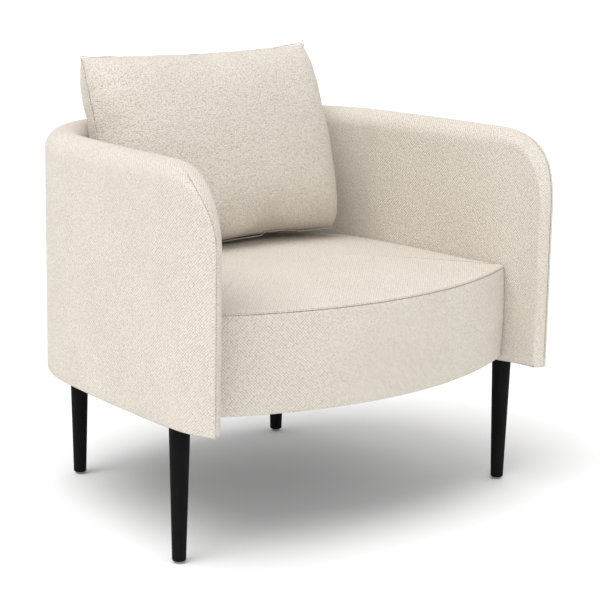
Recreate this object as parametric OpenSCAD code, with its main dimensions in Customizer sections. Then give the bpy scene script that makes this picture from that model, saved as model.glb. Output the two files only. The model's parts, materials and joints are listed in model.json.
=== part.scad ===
// Upholstered tub armchair: a bent shell that forms back and arms in one wall,
// a fixed seat with a bowed front, four turned legs and one loose back cushion.
// Millimetres, +Z up, front towards -Y, origin on the floor under the middle.

/* [Overall] */
// Width across the arms at their widest
overall_width = 790; // [660:5:950]
// Depth from the seat's front to the shell's back
overall_depth = 680; // [570:5:820]
// Height of the shell's rounded rim above the floor
shell_top = 655; // [600:1:790]
// Height of the shell's lower edge above the floor, which sets the legs
shell_bottom = 233; // [190:1:280]
// Height of the seat at the top of its crown
seat_top = 430; // [400:1:516]

/* [Shell] */
// Thickness of the upholstered wall
wall_thickness = 66; // [56:1:80]
// Angle that the back's arc takes on each side of the middle
back_angle = 18.3; // [14:0.1:22]
// Outer radius of the rear corners
corner_radius = 255; // [210:1:306]
// Angle between the outward normals of the back's middle and of the arm's start
corner_end_angle = 83.5; // [80:0.5:86]
// Angle of the outward normal where the arm's nose starts
nose_start_angle = 90.5; // [89:0.5:93]
// Outer radius of the nose, where the arm turns inwards
nose_radius = 184; // [150:1:220]
// Angle that the nose turns through
nose_angle = 26.8; // [20:0.1:32]
// Thickness of the wall at the tip of the nose
nose_thickness = 24; // [18:1:30]
// Length over which the wall thins towards the tip
nose_taper = 183; // [150:1:220]
// Radius of the arm's upper front corner, seen from the side
arm_corner = 130; // [100:1:156]
// How far the arm tips stand back from the seat's front
tip_setback = 9; // [4:1:20]

/* [Upholstery layers] */
// Thickness of the woven cover
fabric = 1.5; // [1:0.1:2.5]
// Thickness of the strip sewn in along each arm's front
strip = 1.5; // [1:0.1:2.5]
// Free space between neighbouring layers
ease = 0.3; // [0.2:0.05:0.5]
// Foam on the outside of the shell's frame
outer_foam = 11; // [8:1:14]
// Foam on the inside of the shell's frame
inner_foam = 15; // [11:1:18]
// Bent plywood panels on both faces of the frame
panel = 3; // [2.5:0.5:4]

/* [Shell frame] */
// Height of the laminated rail at the foot of the shell
base_rail_height = 50; // [42:1:60]
// Height of the plywood rail under the rim
top_rail_height = 25; // [20:1:30]
// Depth of the rim's foam over the top rail
rim_foam = 48; // [40:1:58]
// Length of an upright along the wall
post_length = 55; // [45:1:66]
// Distance from the arm's tip to the end of the frame
frame_setback = 80; // [66:1:98]

/* [Seat] */
// Radius of the seat's bowed front, seen from above
seat_front_radius = 695; // [580:5:834]
// How far the crown on top of the seat falls from its highest point to the front seam's middle
crown_fall = 16.87; // [14:0.01:20.24]
// Height of the front border, from the underside to its seam
border_height = 166; // [150:1:190]
// How far the seat's underside stands above the shell's lower edge
seat_lift = 9; // [6:1:12]
// Free space between the seat unit and the shell's wall
seat_gap = 0.8; // [0.5:0.1:1.5]
// Height of the seat frame's rails
seat_rail_height = 75; // [62:1:82]
// Thickness of the seat frame's rails
seat_rail = 22; // [18:1:26]
// Foam on the face of the front rail
front_pad = 12; // [10:1:15]
// Polyester wadding over the seat foam
wadding = 6; // [4:1:8]
// Width of a webbing strap
strap_width = 60; // [50:1:72]
// Thickness of a webbing strap
strap_thickness = 2.4; // [2:0.2:3]
// Number of straps from side to side
cross_straps = 4; // [3:1:4]
// Number of straps from front to back
long_straps = 3; // [2:1:3]

/* [Legs] */
// Distance of the front legs' axes from the line of the chair's widest point
front_leg_inset = 29; // [26:1:35]
// Distance between the rear legs' axes
rear_leg_span = 468; // [440:1:500]
// Distance of a leg's axis from the shell's outer face
leg_inset = 31; // [28:1:36]
// Distance of the front legs behind the tips of the arms
front_leg_setback = 103; // [96:1:124]
// Diameter of a leg at its top
leg_top_d = 35; // [30:1:42]
// Diameter of a leg at its foot
leg_foot_d = 23; // [19:1:28]
// Diameter of the glide under a leg
glide_d = 15; // [12:1:18]
// Height of the glide
glide_height = 4; // [3:0.5:6]

/* [Cushion] */
// Width of the loose back cushion between its corners
cushion_width = 505; // [425:5:520]
// Height of the loose back cushion between its corners
cushion_height = 361; // [305:1:430]
// Greatest thickness of the cushion
cushion_thickness = 180; // [150:2:186]
// Angle at which the cushion leans back
cushion_lean = 17.9; // [14:0.1:22]
// Distance between the cushion's foot and the inside of the shell's back
cushion_foot = 167; // [150:1:180]
// Length of the zip in the cushion's lower edge
zip_length = 380; // [300:5:400]

/* [Fasteners] */
// Nominal diameter of the bolts
bolt_d = 8; // [6:1:10]
// Extra radius of a hole that a bolt passes through
bolt_clearance = 0.2; // [0.15:0.05:0.4]
// Outer diameter of the threaded inserts
insert_d = 12; // [10:1:14]
// Length of the threaded inserts
insert_length = 20; // [16:1:22]

/* [Hidden] */
$fn = 96;
BIG = 2000;
DEG = 180 / PI;

POSTS = ["left_tip_post", "left_arm_post", "left_corner_post", "back_post",
         "right_corner_post", "right_arm_post", "right_tip_post"];
LEGS = ["front_left", "front_right", "rear_left", "rear_right"];

// ---- colours -------------------------------------------------------------
CREAM = [0.86, 0.82, 0.75];
LIGHT_CREAM = [0.90, 0.86, 0.80];
FOAM = [0.93, 0.90, 0.72];
WADDING = [0.95, 0.95, 0.94];
PLYWOOD = [0.80, 0.66, 0.46];
BEECH = [0.83, 0.67, 0.48];
WEBBING = [0.25, 0.24, 0.23];
BLACK_CLOTH = [0.12, 0.12, 0.12];
BLACK_WOOD = [0.06, 0.055, 0.05];
GREY_PLASTIC = [0.72, 0.72, 0.71];
STEEL = [0.68, 0.69, 0.71];

// ---- plan of the shell ---------------------------------------------------
// The outer face is a chain of tangent arcs on each side: back, corner, arm, nose.
// An angle here is that of the outward normal, turned from +Y towards the side.
nose_end_angle = nose_start_angle + nose_angle;
shell_depth = overall_depth - tip_setback;
width_left = overall_width / 2 - corner_radius * (sin(corner_end_angle) - sin(back_angle));
depth_left = shell_depth - corner_radius * (cos(back_angle) - cos(corner_end_angle))
  - nose_radius * (cos(nose_start_angle) - cos(nose_end_angle));
// Back and arm radii follow from the overall width and depth together.
arm_in_width = 1 - sin(corner_end_angle);
arm_in_depth = cos(corner_end_angle) - cos(nose_start_angle);
back_in_width = sin(back_angle);
back_in_depth = 1 - cos(back_angle);
plan_det = back_in_width * arm_in_depth - arm_in_width * back_in_depth;
back_radius = (width_left * arm_in_depth - arm_in_width * depth_left) / plan_det;
arm_radius = (back_in_width * depth_left - back_in_depth * width_left) / plan_det;

ARC_R = [back_radius, corner_radius, arm_radius, nose_radius];
ARC_A = [0, back_angle, corner_end_angle, nose_start_angle, nose_end_angle];
function outward(a) = [-sin(a), cos(a)];
function centre(i) = i == 0 ? [0, overall_depth / 2 - back_radius]
  : centre(i - 1) + (ARC_R[i - 1] - ARC_R[i]) * outward(ARC_A[i]);
function arc_length(i) = ARC_R[i] * (ARC_A[i + 1] - ARC_A[i]) / DEG;
function run_to(i) = i == 0 ? 0 : run_to(i - 1) + arc_length(i - 1);
corner_start = run_to(1);
corner_end = run_to(2);
tip_run = run_to(4);
nose_run = tip_run - nose_taper;
bend_run = tip_run - arm_corner;
frame_run = tip_run - frame_setback;
function arc_at(s) = s < run_to(1) ? 0 : s < run_to(2) ? 1 : s < run_to(3) ? 2 : 3;
function angle_at(s) = ARC_A[arc_at(s)] + (s - run_to(arc_at(s))) / ARC_R[arc_at(s)] * DEG;
// Point on the true arcs at run s along the wall, at a depth inside the outer face
function wall_point(s, depth) = centre(arc_at(s)) + (ARC_R[arc_at(s)] - depth) * outward(angle_at(s));
tip_y = wall_point(tip_run, 0)[1];

// The wall is faceted at these stations, and every layer follows the same facets.
// Around the arm's upper front corner they follow the corner's own angle.
strip_gap = strip + 2 * ease;
bend_steps = 10;
function bend_station(i) = bend_run + (arm_corner - strip_gap) * sin(90 * i / bend_steps);
function runs(from, to, count) = [for (i = [1:count]) from + (to - from) * i / count];
STATIONS = concat([0], runs(0, corner_start, 5), runs(corner_start, corner_end, 11),
  runs(corner_end, nose_run, 3), runs(nose_run, bend_run, 2),
  [for (i = [1:bend_steps]) bend_station(i)], [tip_run]);
LAST = len(STATIONS) - 1;
function station_below(s) = max([for (i = [0:LAST - 1]) if (STATIONS[i] <= s || i == 0) i]);
// Thickness of the wall at run s: full, then thinning to the tip
function true_thickness(s) = wall_thickness
  - (wall_thickness - nose_thickness) * pow(max(0, (s - nose_run) / nose_taper), 2);
function blend(a, b, t) = a + (b - a) * t;
function share(s, k) = (s - STATIONS[k]) / (STATIONS[k + 1] - STATIONS[k]);
function thickness_at(s) = let (k = station_below(s))
  blend(true_thickness(STATIONS[k]), true_thickness(STATIONS[k + 1]), share(s, k));
// A depth is a number from the outer face, or [number] from the inner face
function depth_of(d, s) = is_list(d) ? true_thickness(s) + d[0] : d;
function left_place(s, d) = let (k = station_below(s), a = STATIONS[k], b = STATIONS[k + 1])
  blend(wall_point(a, depth_of(d, a)), wall_point(b, depth_of(d, b)), share(s, k));
// Point on the facets at signed run s: left of the middle when positive, right when negative
function place(s, d) = let (p = left_place(abs(s), d)) s < 0 ? [-p[0], p[1]] : p;
SIGNED = concat([for (i = [LAST:-1:1]) -STATIONS[i]], STATIONS);
function between(from, to) = concat([from],
  [for (s = SIGNED) if (s > from + 0.01 && s < to - 0.01) s], [to]);
function reversed(list) = [for (i = [len(list) - 1:-1:0]) list[i]];

// ---- layers in the wall ----------------------------------------------------
// Depths from the outer face
foam_out = fabric + 2 * ease;
cavity_out = foam_out + outer_foam;
panel_out = cavity_out + ease;
frame_out = panel_out + panel + ease;
// Depths from the inner face, so that the frame thins with the arm's nose
cavity_in = -foam_out - inner_foam;
panel_in = cavity_in - ease;
frame_in = [panel_in - panel - ease];

// ---- heights ---------------------------------------------------------------
base_cloth_top = shell_bottom + fabric;
base_rail_bottom = base_cloth_top + 2 * ease;
base_rail_top = base_rail_bottom + base_rail_height;
inner_edge = base_rail_top + 2;
top_rail_top = shell_top - rim_foam;
top_rail_bottom = top_rail_top - top_rail_height;
seat_bottom = shell_bottom + seat_lift;
border_top = seat_bottom + border_height;
dust_top = seat_bottom + 1;
seat_rail_bottom = dust_top + ease;
seat_rail_top = seat_rail_bottom + seat_rail_height;
cross_top = seat_rail_top + ease + strap_thickness;
long_top = cross_top + ease + strap_thickness;
felt_thickness = 1.5;
felt_top = long_top + ease + felt_thickness;
seat_foam_bottom = felt_top + ease;
seat_front_y = -overall_depth / 2;
seat_front_centre = seat_front_y + seat_front_radius;
crown_centre_y = 20;
crown_reach = crown_centre_y - seat_front_y;
crown_radius = (pow(crown_reach, 2) + pow(crown_fall, 2)) / (2 * crown_fall);

// ---- helpers ---------------------------------------------------------------
module both_sides() {
  children();
  mirror([1, 0, 0]) children();
}

// Upright slab between two depths, following the wall from one run to another
module wall_slab(from, to, out, in, bottom, top) {
  steps = between(from, to);
  translate([0, 0, bottom]) linear_extrude(height = top - bottom)
    polygon(concat([for (s = steps) place(s, out)], reversed([for (s = steps) place(s, in)])));
}

// Joins a list of equal rings of points into one closed solid.
// From the ring numbered middle, the facets are split the other way, as in a mirror.
module skin_rings(rings, middle = BIG) {
  n = len(rings[0]);
  m = len(rings);
  sides = [for (i = [0:m - 2], j = [0:n - 1])
    let (k = (j + 1) % n, a = i * n + j, b = i * n + k, c = a + n, d = b + n)
      each i < middle ? [[a, c, b], [b, c, d]] : [[a, c, d], [a, d, b]]];
  start_cap = [for (j = [0:n - 1]) j];
  end_cap = [for (j = [n - 1:-1:0]) (m - 1) * n + j];
  polyhedron(points = [for (r = rings) each r], faces = concat(sides, [start_cap, end_cap]));
}

// Height above the bend's centre of a circle of radius r, at run s
function bend_height(r, s) = sqrt(max(0, pow(r, 2) - pow(s - bend_run, 2)));
// Height of the rim at a station: level, then falling around the arm's upper front corner.
// A layer inset below the cover keeps that distance along the bend too.
function station_top(s, inset) = s <= bend_run + 0.01 ? shell_top - inset
  : shell_top - arm_corner + min(bend_height(arm_corner - strip_gap, s) - inset,
                                 bend_height(arm_corner - strip_gap - inset, s));
function rim_top(s, inset) = let (k = station_below(s))
  blend(station_top(STATIONS[k], inset), station_top(STATIONS[k + 1], inset), share(s, k));
// Radius of the rim's edges: a full roll, tightening to the strip's edges at the tip
edge_radius = 4;
function rim_radius(s) = s <= bend_run ? thickness_at(s) / 2
  : blend(thickness_at(s) / 2, edge_radius, sqrt((s - bend_run) / arm_corner));
rim_steps = 5;
// Outline of the wall's section at signed run s, from the outer foot over the rim
function section_points(s, inset, outer_foot, inner_foot) = let (
    u = abs(s),
    thick = thickness_at(u),
    top = rim_top(u, inset),
    r = max(1, min(rim_radius(u), thick / 2 - 0.5) - inset),
    angles = [for (i = [0:rim_steps]) 90 * i / rim_steps],
    flat = concat([[inset, outer_foot]],
      [for (a = angles) [inset + r - r * cos(a), top - r + r * sin(a)]],
      [for (a = reversed(angles)) [thick - inset - r + r * cos(a), top - r + r * sin(a)]],
      [[thick - inset, inner_foot]]))
  [for (p = flat) let (q = place(s, p[0])) [q[0], q[1], p[1]]];

// ---- shell -----------------------------------------------------------------
cover_run = tip_run - strip_gap;
// The cover's inner edge stops above the base rail, and reaches down only ahead of the frame
foot_step = frame_run + 1;
function inner_foot_at(s) = abs(s) > foot_step + 0.5 ? shell_bottom : inner_edge;
half_cover = concat(between(0, foot_step), between(foot_step + 1, cover_run));
COVER_RUNS = concat([for (i = [len(half_cover) - 1:-1:1]) -half_cover[i]], half_cover);
module shell_cover() color(CREAM)
  skin_rings([for (s = COVER_RUNS)
    concat(section_points(s, 0, shell_bottom, inner_foot_at(s)),
      reversed(section_points(s, fabric, shell_bottom, inner_foot_at(s))))],
    middle = len(half_cover) - 1);

// Ring of the strip at angle a of the bend, where 0 is level with the arm's top
function strip_ring(a, foot) = [for (layer = [0, strip]) let (
    r = arm_corner - layer,
    s = bend_run + r * sin(a),
    z = foot < 0 ? shell_top - arm_corner + r * cos(a) : foot,
    ends = [place(s, 0), place(s, [0])])
  each layer == 0 ? [[ends[0][0], ends[0][1], z], [ends[1][0], ends[1][1], z]]
    : [[ends[1][0], ends[1][1], z], [ends[0][0], ends[0][1], z]]];
module left_arm_strip() color(CREAM)
  skin_rings(concat([for (i = [1:bend_steps]) strip_ring(90 * i / bend_steps, -1)],
    [strip_ring(90, shell_bottom)]));
module right_arm_strip() mirror([1, 0, 0]) left_arm_strip();

foam_run = cover_run - foam_out;
roll_bottom = top_rail_top + ease;
module outer_foam_sheet() color(FOAM)
  wall_slab(-frame_run, frame_run, foam_out, cavity_out, base_rail_bottom, top_rail_top);

module inner_foam_sheet() color(FOAM)
  wall_slab(-frame_run, frame_run, [cavity_in], [-foam_out], inner_edge, top_rail_top);

module rim_foam_roll() color(FOAM)
  skin_rings([for (s = between(-frame_run, frame_run))
    section_points(s, foam_out, roll_bottom, roll_bottom)]);

module left_nose_foam() color(FOAM)
  skin_rings([for (s = between(frame_run + ease, foam_run))
    section_points(s, foam_out, base_rail_bottom, base_rail_bottom)]);
module right_nose_foam() mirror([1, 0, 0]) left_nose_foam();

module outer_panel() color(PLYWOOD)
  wall_slab(-frame_run, frame_run, panel_out, panel_out + panel, base_rail_bottom, top_rail_top);

module inner_panel() color(PLYWOOD)
  wall_slab(-frame_run, frame_run, [panel_in - panel], [panel_in], base_rail_top, top_rail_top);

function run_near(x, s, step) = step < 0.01 ? s
  : -wall_point(s, leg_inset)[0] > x ? run_near(x, s - step, step / 2)
  : run_near(x, s + step, step / 2);
rear_leg_run = run_near(rear_leg_span / 2, corner_start, corner_start / 2);
rear_leg_y = wall_point(rear_leg_run, leg_inset)[1];
front_leg_y = tip_y + front_leg_setback;
front_leg_span = overall_width - 2 * front_leg_inset;
function leg_place(name) =
  name == "front_left" ? [-front_leg_span / 2, front_leg_y]
  : name == "front_right" ? [front_leg_span / 2, front_leg_y]
  : name == "rear_left" ? [-rear_leg_span / 2, rear_leg_y]
  : [rear_leg_span / 2, rear_leg_y];
LEG_PLACES = [for (name = LEGS) leg_place(name)];

// Runs at which the seat unit is bolted to the shell
SEAT_BOLT_RUNS = [corner_start / 2, corner_end + 60, nose_run - 40];
seat_bolt_z = base_rail_bottom + base_rail_height * 0.55;
// Places children at each seat bolt, +Z pointing outwards through the wall
module at_seat_bolts() {
  both_sides() for (s = SEAT_BOLT_RUNS) {
    p = wall_point(s, 0);
    translate([p[0], p[1], seat_bolt_z]) rotate([0, 90, 90 + angle_at(s)]) children();
  }
}

module shell_base_rail() color(BEECH) difference() {
  wall_slab(-frame_run, frame_run, frame_out, [-ease], base_rail_bottom, base_rail_top);
  for (p = LEG_PLACES) translate([p[0], p[1], base_rail_bottom - 1]) {
    cylinder(h = insert_length + ease + 1, d = insert_d + 0.2);
    cylinder(h = insert_length + 10, d = bolt_d + 2 * bolt_clearance);
  }
  at_seat_bolts() translate([0, 0, -wall_thickness - 1]) {
    cylinder(h = wall_thickness / 2 + 4, d = bolt_d + 2 * bolt_clearance);
    cylinder(h = insert_length + ease + 1, d = insert_d + 0.2);
  }
}

module shell_top_rail() color(PLYWOOD)
  wall_slab(-frame_run, frame_run, frame_out, frame_in, top_rail_bottom, top_rail_top);

// Signed run of each upright's middle
post_half = post_length / 2;
tip_post_run = frame_run - post_half;
arm_post_run = (corner_end + tip_post_run) / 2;
corner_post_run = (corner_start + corner_end) / 2;
POST_RUNS = [tip_post_run, arm_post_run, corner_post_run, 0,
             -corner_post_run, -arm_post_run, -tip_post_run];
module post(i) color(BEECH)
  wall_slab(POST_RUNS[i] - post_half, POST_RUNS[i] + post_half, frame_out, frame_in,
            base_rail_top, top_rail_bottom);

module base_cloth() color(BLACK_CLOTH) difference() {
  wall_slab(-foam_run, foam_run, fabric + ease, [-fabric - ease], shell_bottom, base_cloth_top);
  for (p = LEG_PLACES) translate([p[0], p[1], 0]) cylinder(h = shell_top, d = leg_top_d + 2);
}

// ---- seat ------------------------------------------------------------------
// Plan of the seat unit, reduced by side at the shell and by front at the bow
module seat_plan(side, front) {
  half = [for (s = between(0, bend_station(bend_steps - 2))) place(s, [seat_gap + side])];
  ahead = [half[len(half) - 1][0], seat_front_y - 50];
  left = concat(half, [ahead]);
  intersection() {
    polygon(concat(left, [for (i = [len(left) - 1:-1:1]) [-left[i][0], left[i][1]]]));
    translate([0, seat_front_centre]) circle(seat_front_radius - front, $fn = 240);
  }
}

module seat_block(inset, bottom) {
  intersection() {
    translate([0, 0, bottom]) linear_extrude(height = seat_top) seat_plan(inset, inset);
    translate([0, crown_centre_y, seat_top - crown_radius]) sphere(crown_radius - inset, $fn = 360);
  }
}

// The border covers the part of the seat ahead of this line
seat_corner_x = -place(bend_station(bend_steps - 2), [seat_gap])[0];
bow_end_y = seat_front_centre - sqrt(pow(seat_front_radius, 2) - pow(seat_corner_x, 2));
border_back = max(tip_y + 96, bow_end_y + 20);
module ahead_of_border() translate([-BIG / 2, border_back - BIG, 0]) cube([BIG, BIG, BIG]);

module seat_cover_top() color(LIGHT_CREAM) difference() {
  seat_block(0, border_top);
  seat_block(fabric, border_top - 1);
}

module seat_band() {
  translate([0, 0, seat_bottom]) linear_extrude(height = border_height) difference() {
    seat_plan(0, 0);
    seat_plan(fabric, fabric);
  }
}
module seat_border() color(CREAM) intersection() {
  seat_band();
  ahead_of_border();
}
module seat_lining() color(BLACK_CLOTH) difference() {
  seat_band();
  ahead_of_border();
  at_seat_bolts() translate([0, 0, -wall_thickness * 2]) cylinder(h = wall_thickness * 2, d = bolt_d + 2);
}

wadding_in = fabric + ease;
foam_inset = wadding_in + wadding + ease;
module seat_wadding() color(WADDING) difference() {
  seat_block(wadding_in, seat_foam_bottom);
  seat_block(wadding_in + wadding, seat_foam_bottom - 1);
}
module seat_foam() color(FOAM) seat_block(foam_inset, seat_foam_bottom);

module seat_felt() color(WADDING)
  translate([0, 0, long_top + ease]) linear_extrude(height = felt_thickness)
    seat_plan(foam_inset, foam_inset);

rail_out = fabric + ease;
front_rail_out = fabric + ease + front_pad + ease;
side_rail_in = rail_out + seat_rail;
module seat_front_pad() color(FOAM)
  translate([0, 0, seat_rail_bottom]) linear_extrude(height = seat_rail_height)
    difference() {
      seat_plan(rail_out, rail_out);
      seat_plan(-10, rail_out + front_pad);
    }

module rail_slab() {
  translate([0, 0, seat_rail_bottom]) linear_extrude(height = seat_rail_height) children();
}

module seat_front_rail() color(BEECH) rail_slab() difference() {
  seat_plan(side_rail_in + ease, front_rail_out);
  seat_plan(-10, front_rail_out + seat_rail);
}

module wall_rail(from, to) {
  wall_slab(from, to, [seat_gap + rail_out], [seat_gap + side_rail_in],
            seat_rail_bottom, seat_rail_top);
}
module rail_holes() {
  at_seat_bolts() translate([0, 0, -2 * wall_thickness])
    cylinder(h = wall_thickness * 2, d = bolt_d + 2 * bolt_clearance);
}
module seat_left_rail() color(BEECH) difference() {
  intersection() {
    wall_rail(corner_end + ease, frame_run);
    rail_slab() translate([0, seat_front_centre]) circle(seat_front_radius - front_rail_out, $fn = 240);
  }
  rail_holes();
}
module seat_right_rail() mirror([1, 0, 0]) seat_left_rail();
module seat_back_rail() color(BEECH) difference() {
  wall_rail(-corner_start, corner_start);
  rail_holes();
}
module seat_left_corner() color(BEECH) wall_rail(corner_start + ease, corner_end);
module seat_right_corner() mirror([1, 0, 0]) seat_left_corner();

// Glued block that ties the front rail to a side rail
block_size = 90;
side_x = -place(nose_run, [seat_gap + side_rail_in])[0];
block_y = seat_front_centre
  - sqrt(pow(seat_front_radius - front_rail_out - seat_rail, 2) - pow(side_x, 2));
module left_corner_block() color(BEECH) rail_slab() intersection() {
  seat_plan(side_rail_in + ease, front_rail_out + seat_rail + ease);
  translate([-side_x, block_y]) rotate(45) square(block_size, center = true);
}
module right_corner_block() mirror([1, 0, 0]) left_corner_block();

strap_inset = fabric + 2 * ease + 2;
cross_from = seat_front_y + 150;
cross_to = overall_depth / 2 - wall_thickness - 95;
module cross_straps() color(WEBBING)
  translate([0, 0, seat_rail_top + ease]) linear_extrude(height = strap_thickness)
    intersection() {
      seat_plan(strap_inset, strap_inset);
      for (i = [1:cross_straps]) {
        y = cross_from + (cross_to - cross_from) * (i - 1) / (cross_straps - 1);
        translate([-BIG / 2, y - strap_width / 2]) square([BIG, strap_width]);
      }
    }

long_spread = overall_width / 2 - wall_thickness - 90;
module long_straps() color(WEBBING)
  translate([0, 0, cross_top + ease]) linear_extrude(height = strap_thickness)
    intersection() {
      seat_plan(strap_inset, front_rail_out);
      for (i = [1:long_straps]) {
        x = -long_spread + 2 * long_spread * (i - 1) / (long_straps - 1);
        translate([x - strap_width / 2, -BIG / 2]) square([strap_width, BIG]);
      }
    }

module dust_cover() color(BLACK_CLOTH)
  translate([0, 0, seat_bottom]) linear_extrude(height = dust_top - seat_bottom)
    seat_plan(fabric + 2, fabric + 2);

staple = [10, 1.2, 0.6];
staple_depth = wall_thickness + seat_gap + 12;
module dust_cover_staples() color(STEEL) both_sides()
  for (s = runs(-20, nose_run - 20, 10)) {
    p = wall_point(s, staple_depth);
    translate([p[0], p[1], seat_bottom - staple[2] / 2]) rotate(angle_at(s)) cube(staple, center = true);
  }

washer_thickness = 2;
washer_face = wall_thickness + seat_gap + side_rail_in + ease;
module seat_washers() color(STEEL) at_seat_bolts()
  translate([0, 0, -washer_face - washer_thickness]) difference() {
    cylinder(h = washer_thickness, d = 2.2 * bolt_d);
    translate([0, 0, -1]) cylinder(h = washer_thickness + 2, d = bolt_d + 2 * bolt_clearance);
  }

head_height = 0.65 * bolt_d;
seat_bolt_tip = -wall_thickness + insert_length + 2;
module seat_bolts() color(STEEL) at_seat_bolts() {
  face = -washer_face - washer_thickness - ease;
  translate([0, 0, face]) cylinder(h = seat_bolt_tip - face, d = bolt_d);
  translate([0, 0, face - head_height]) cylinder(h = head_height, d = 1.6 * bolt_d, $fn = 6);
}

module insert() {
  difference() {
    cylinder(h = insert_length, d = insert_d);
    translate([0, 0, -1]) cylinder(h = insert_length + 2, d = bolt_d + 2 * bolt_clearance);
  }
}
module seat_inserts() color(STEEL) at_seat_bolts() translate([0, 0, -wall_thickness + ease]) insert();

// ---- legs ------------------------------------------------------------------
leg_height = base_rail_bottom - glide_height;
leg_chamfer = 1.5;
bolt_in_leg = 32;
glide_pin_d = 5;
glide_pin = 14;
module leg() {
  difference() {
    translate([0, 0, glide_height]) {
      cylinder(h = leg_chamfer, d1 = leg_foot_d - 2 * leg_chamfer, d2 = leg_foot_d);
      translate([0, 0, leg_chamfer])
        cylinder(h = leg_height - leg_chamfer, d1 = leg_foot_d, d2 = leg_top_d);
    }
    translate([0, 0, base_rail_bottom - bolt_in_leg])
      cylinder(h = bolt_in_leg + 1, d = bolt_d + 2 * bolt_clearance);
    translate([0, 0, -1]) cylinder(h = glide_height + glide_pin + 2, d = glide_pin_d + 0.2);
  }
}
module glide() {
  cylinder(h = glide_height, d = glide_d);
  cylinder(h = glide_height + glide_pin, d = glide_pin_d);
}
module leg_at(i) color(BLACK_WOOD) translate(LEG_PLACES[i]) leg();
module glide_at(i) color(GREY_PLASTIC) translate(LEG_PLACES[i]) glide();
module leg_bolts() color(STEEL) for (p = LEG_PLACES)
  translate([p[0], p[1], base_rail_bottom - bolt_in_leg + 2])
    cylinder(h = bolt_in_leg - 2 + insert_length + 4, d = bolt_d);
module leg_inserts() color(STEEL) for (p = LEG_PLACES)
  translate([p[0], p[1], base_rail_bottom]) insert();

// ---- cushion ---------------------------------------------------------------
half_thick = cushion_thickness / 2;
// Radius of the arc that bulges by half_thick over the given span
function bulge(span) = (pow(span / 2, 2) + pow(half_thick, 2)) / (2 * half_thick);
height_bulge = bulge(cushion_height);
width_bulge = bulge(cushion_width);
module lens(radius, inset) {
  offset_y = radius - half_thick;
  intersection() {
    translate([0, offset_y]) circle(radius - inset, $fn = 180);
    translate([0, -offset_y]) circle(radius - inset, $fn = 180);
  }
}
// Pillow that comes to a knife edge all round, reduced by inset
module pillow(inset) {
  intersection() {
    linear_extrude(height = BIG, center = true) lens(width_bulge, inset);
    rotate([0, 90, 0]) linear_extrude(height = BIG, center = true) lens(height_bulge, inset);
  }
}
cushion_gap = 1;
cushion_foot_y = overall_depth / 2 - wall_thickness - cushion_foot;
module in_cushion_place() {
  translate([0, cushion_foot_y, seat_top + cushion_gap])
    rotate([-cushion_lean, 0, 0])
      translate([0, 0, cushion_height / 2]) children();
}
module cushion_half(side) {
  difference() {
    pillow(0);
    pillow(fabric);
    translate([0, -side * BIG / 2, 0]) cube([BIG, BIG, BIG], center = true);
  }
}
module cushion_front() color(LIGHT_CREAM) in_cushion_place() cushion_half(-1);
module cushion_back() color(LIGHT_CREAM) in_cushion_place() cushion_half(1);
module cushion_filling() color(WADDING) in_cushion_place() pillow(fabric + ease);

// The zip lies on the back face, a little above the lower edge
zip_tape = 0.8;
zip_angle = asin((cushion_height / 2) / height_bulge) - 9;
zip_half_angle = 3;
slider_size = [9, 10, 4];
slider_start = -zip_length / 2 + slider_size[0];
module at_zip() {
  translate([0, -(height_bulge - half_thick), 0]) rotate([-zip_angle, 0, 0]) children();
}
module cushion_zip() color(CREAM) in_cushion_place() at_zip() rotate([0, -90, 0])
  linear_extrude(height = zip_length, center = true) intersection() {
    difference() {
      circle(height_bulge + ease + zip_tape, $fn = 360);
      circle(height_bulge + ease, $fn = 360);
    }
    polygon([[0, 0], 2 * height_bulge * [-sin(zip_half_angle), cos(zip_half_angle)],
             2 * height_bulge * [sin(zip_half_angle), cos(zip_half_angle)]]);
  }
module zip_slider() color(STEEL) in_cushion_place() at_zip()
  translate([slider_start, height_bulge + 2 * ease + zip_tape + slider_size[2] / 2, 0])
    cube([slider_size[0], slider_size[2], slider_size[1]], center = true);

// ---- assembly --------------------------------------------------------------
shell_cover();
left_arm_strip();
right_arm_strip();
outer_foam_sheet();
inner_foam_sheet();
rim_foam_roll();
left_nose_foam();
right_nose_foam();
outer_panel();
inner_panel();
shell_base_rail();
shell_top_rail();
base_cloth();
for (i = [0:len(POSTS) - 1])
  post(i);
seat_cover_top();
seat_border();
seat_lining();
seat_wadding();
seat_foam();
seat_felt();
seat_front_pad();
seat_front_rail();
seat_left_rail();
seat_right_rail();
seat_back_rail();
seat_left_corner();
seat_right_corner();
left_corner_block();
right_corner_block();
cross_straps();
long_straps();
dust_cover();
dust_cover_staples();
seat_bolts();
seat_washers();
seat_inserts();
for (i = [0:len(LEGS) - 1]) {
  leg_at(i);
  glide_at(i);
}
leg_bolts();
leg_inserts();
cushion_front();
cushion_back();
cushion_filling();
cushion_zip();
zip_slider();
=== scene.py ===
# %% [markdown]
# # A tub armchair, dressed around its frame
# The chair has a bent shell that is back and arms in one wall, a fixed seat with a bowed front,
# four black legs and one loose back cushion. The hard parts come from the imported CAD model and
# stay as they are. Everything made of cloth is built here as a skin over the CAD's plain solids,
# because cloth needs seams, crowns and a weave that a plain solid doesn't have.

# %% Load the frame
import bpy
import bmesh
import json
import math
import numpy as np
from mathutils import Matrix, Vector


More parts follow.
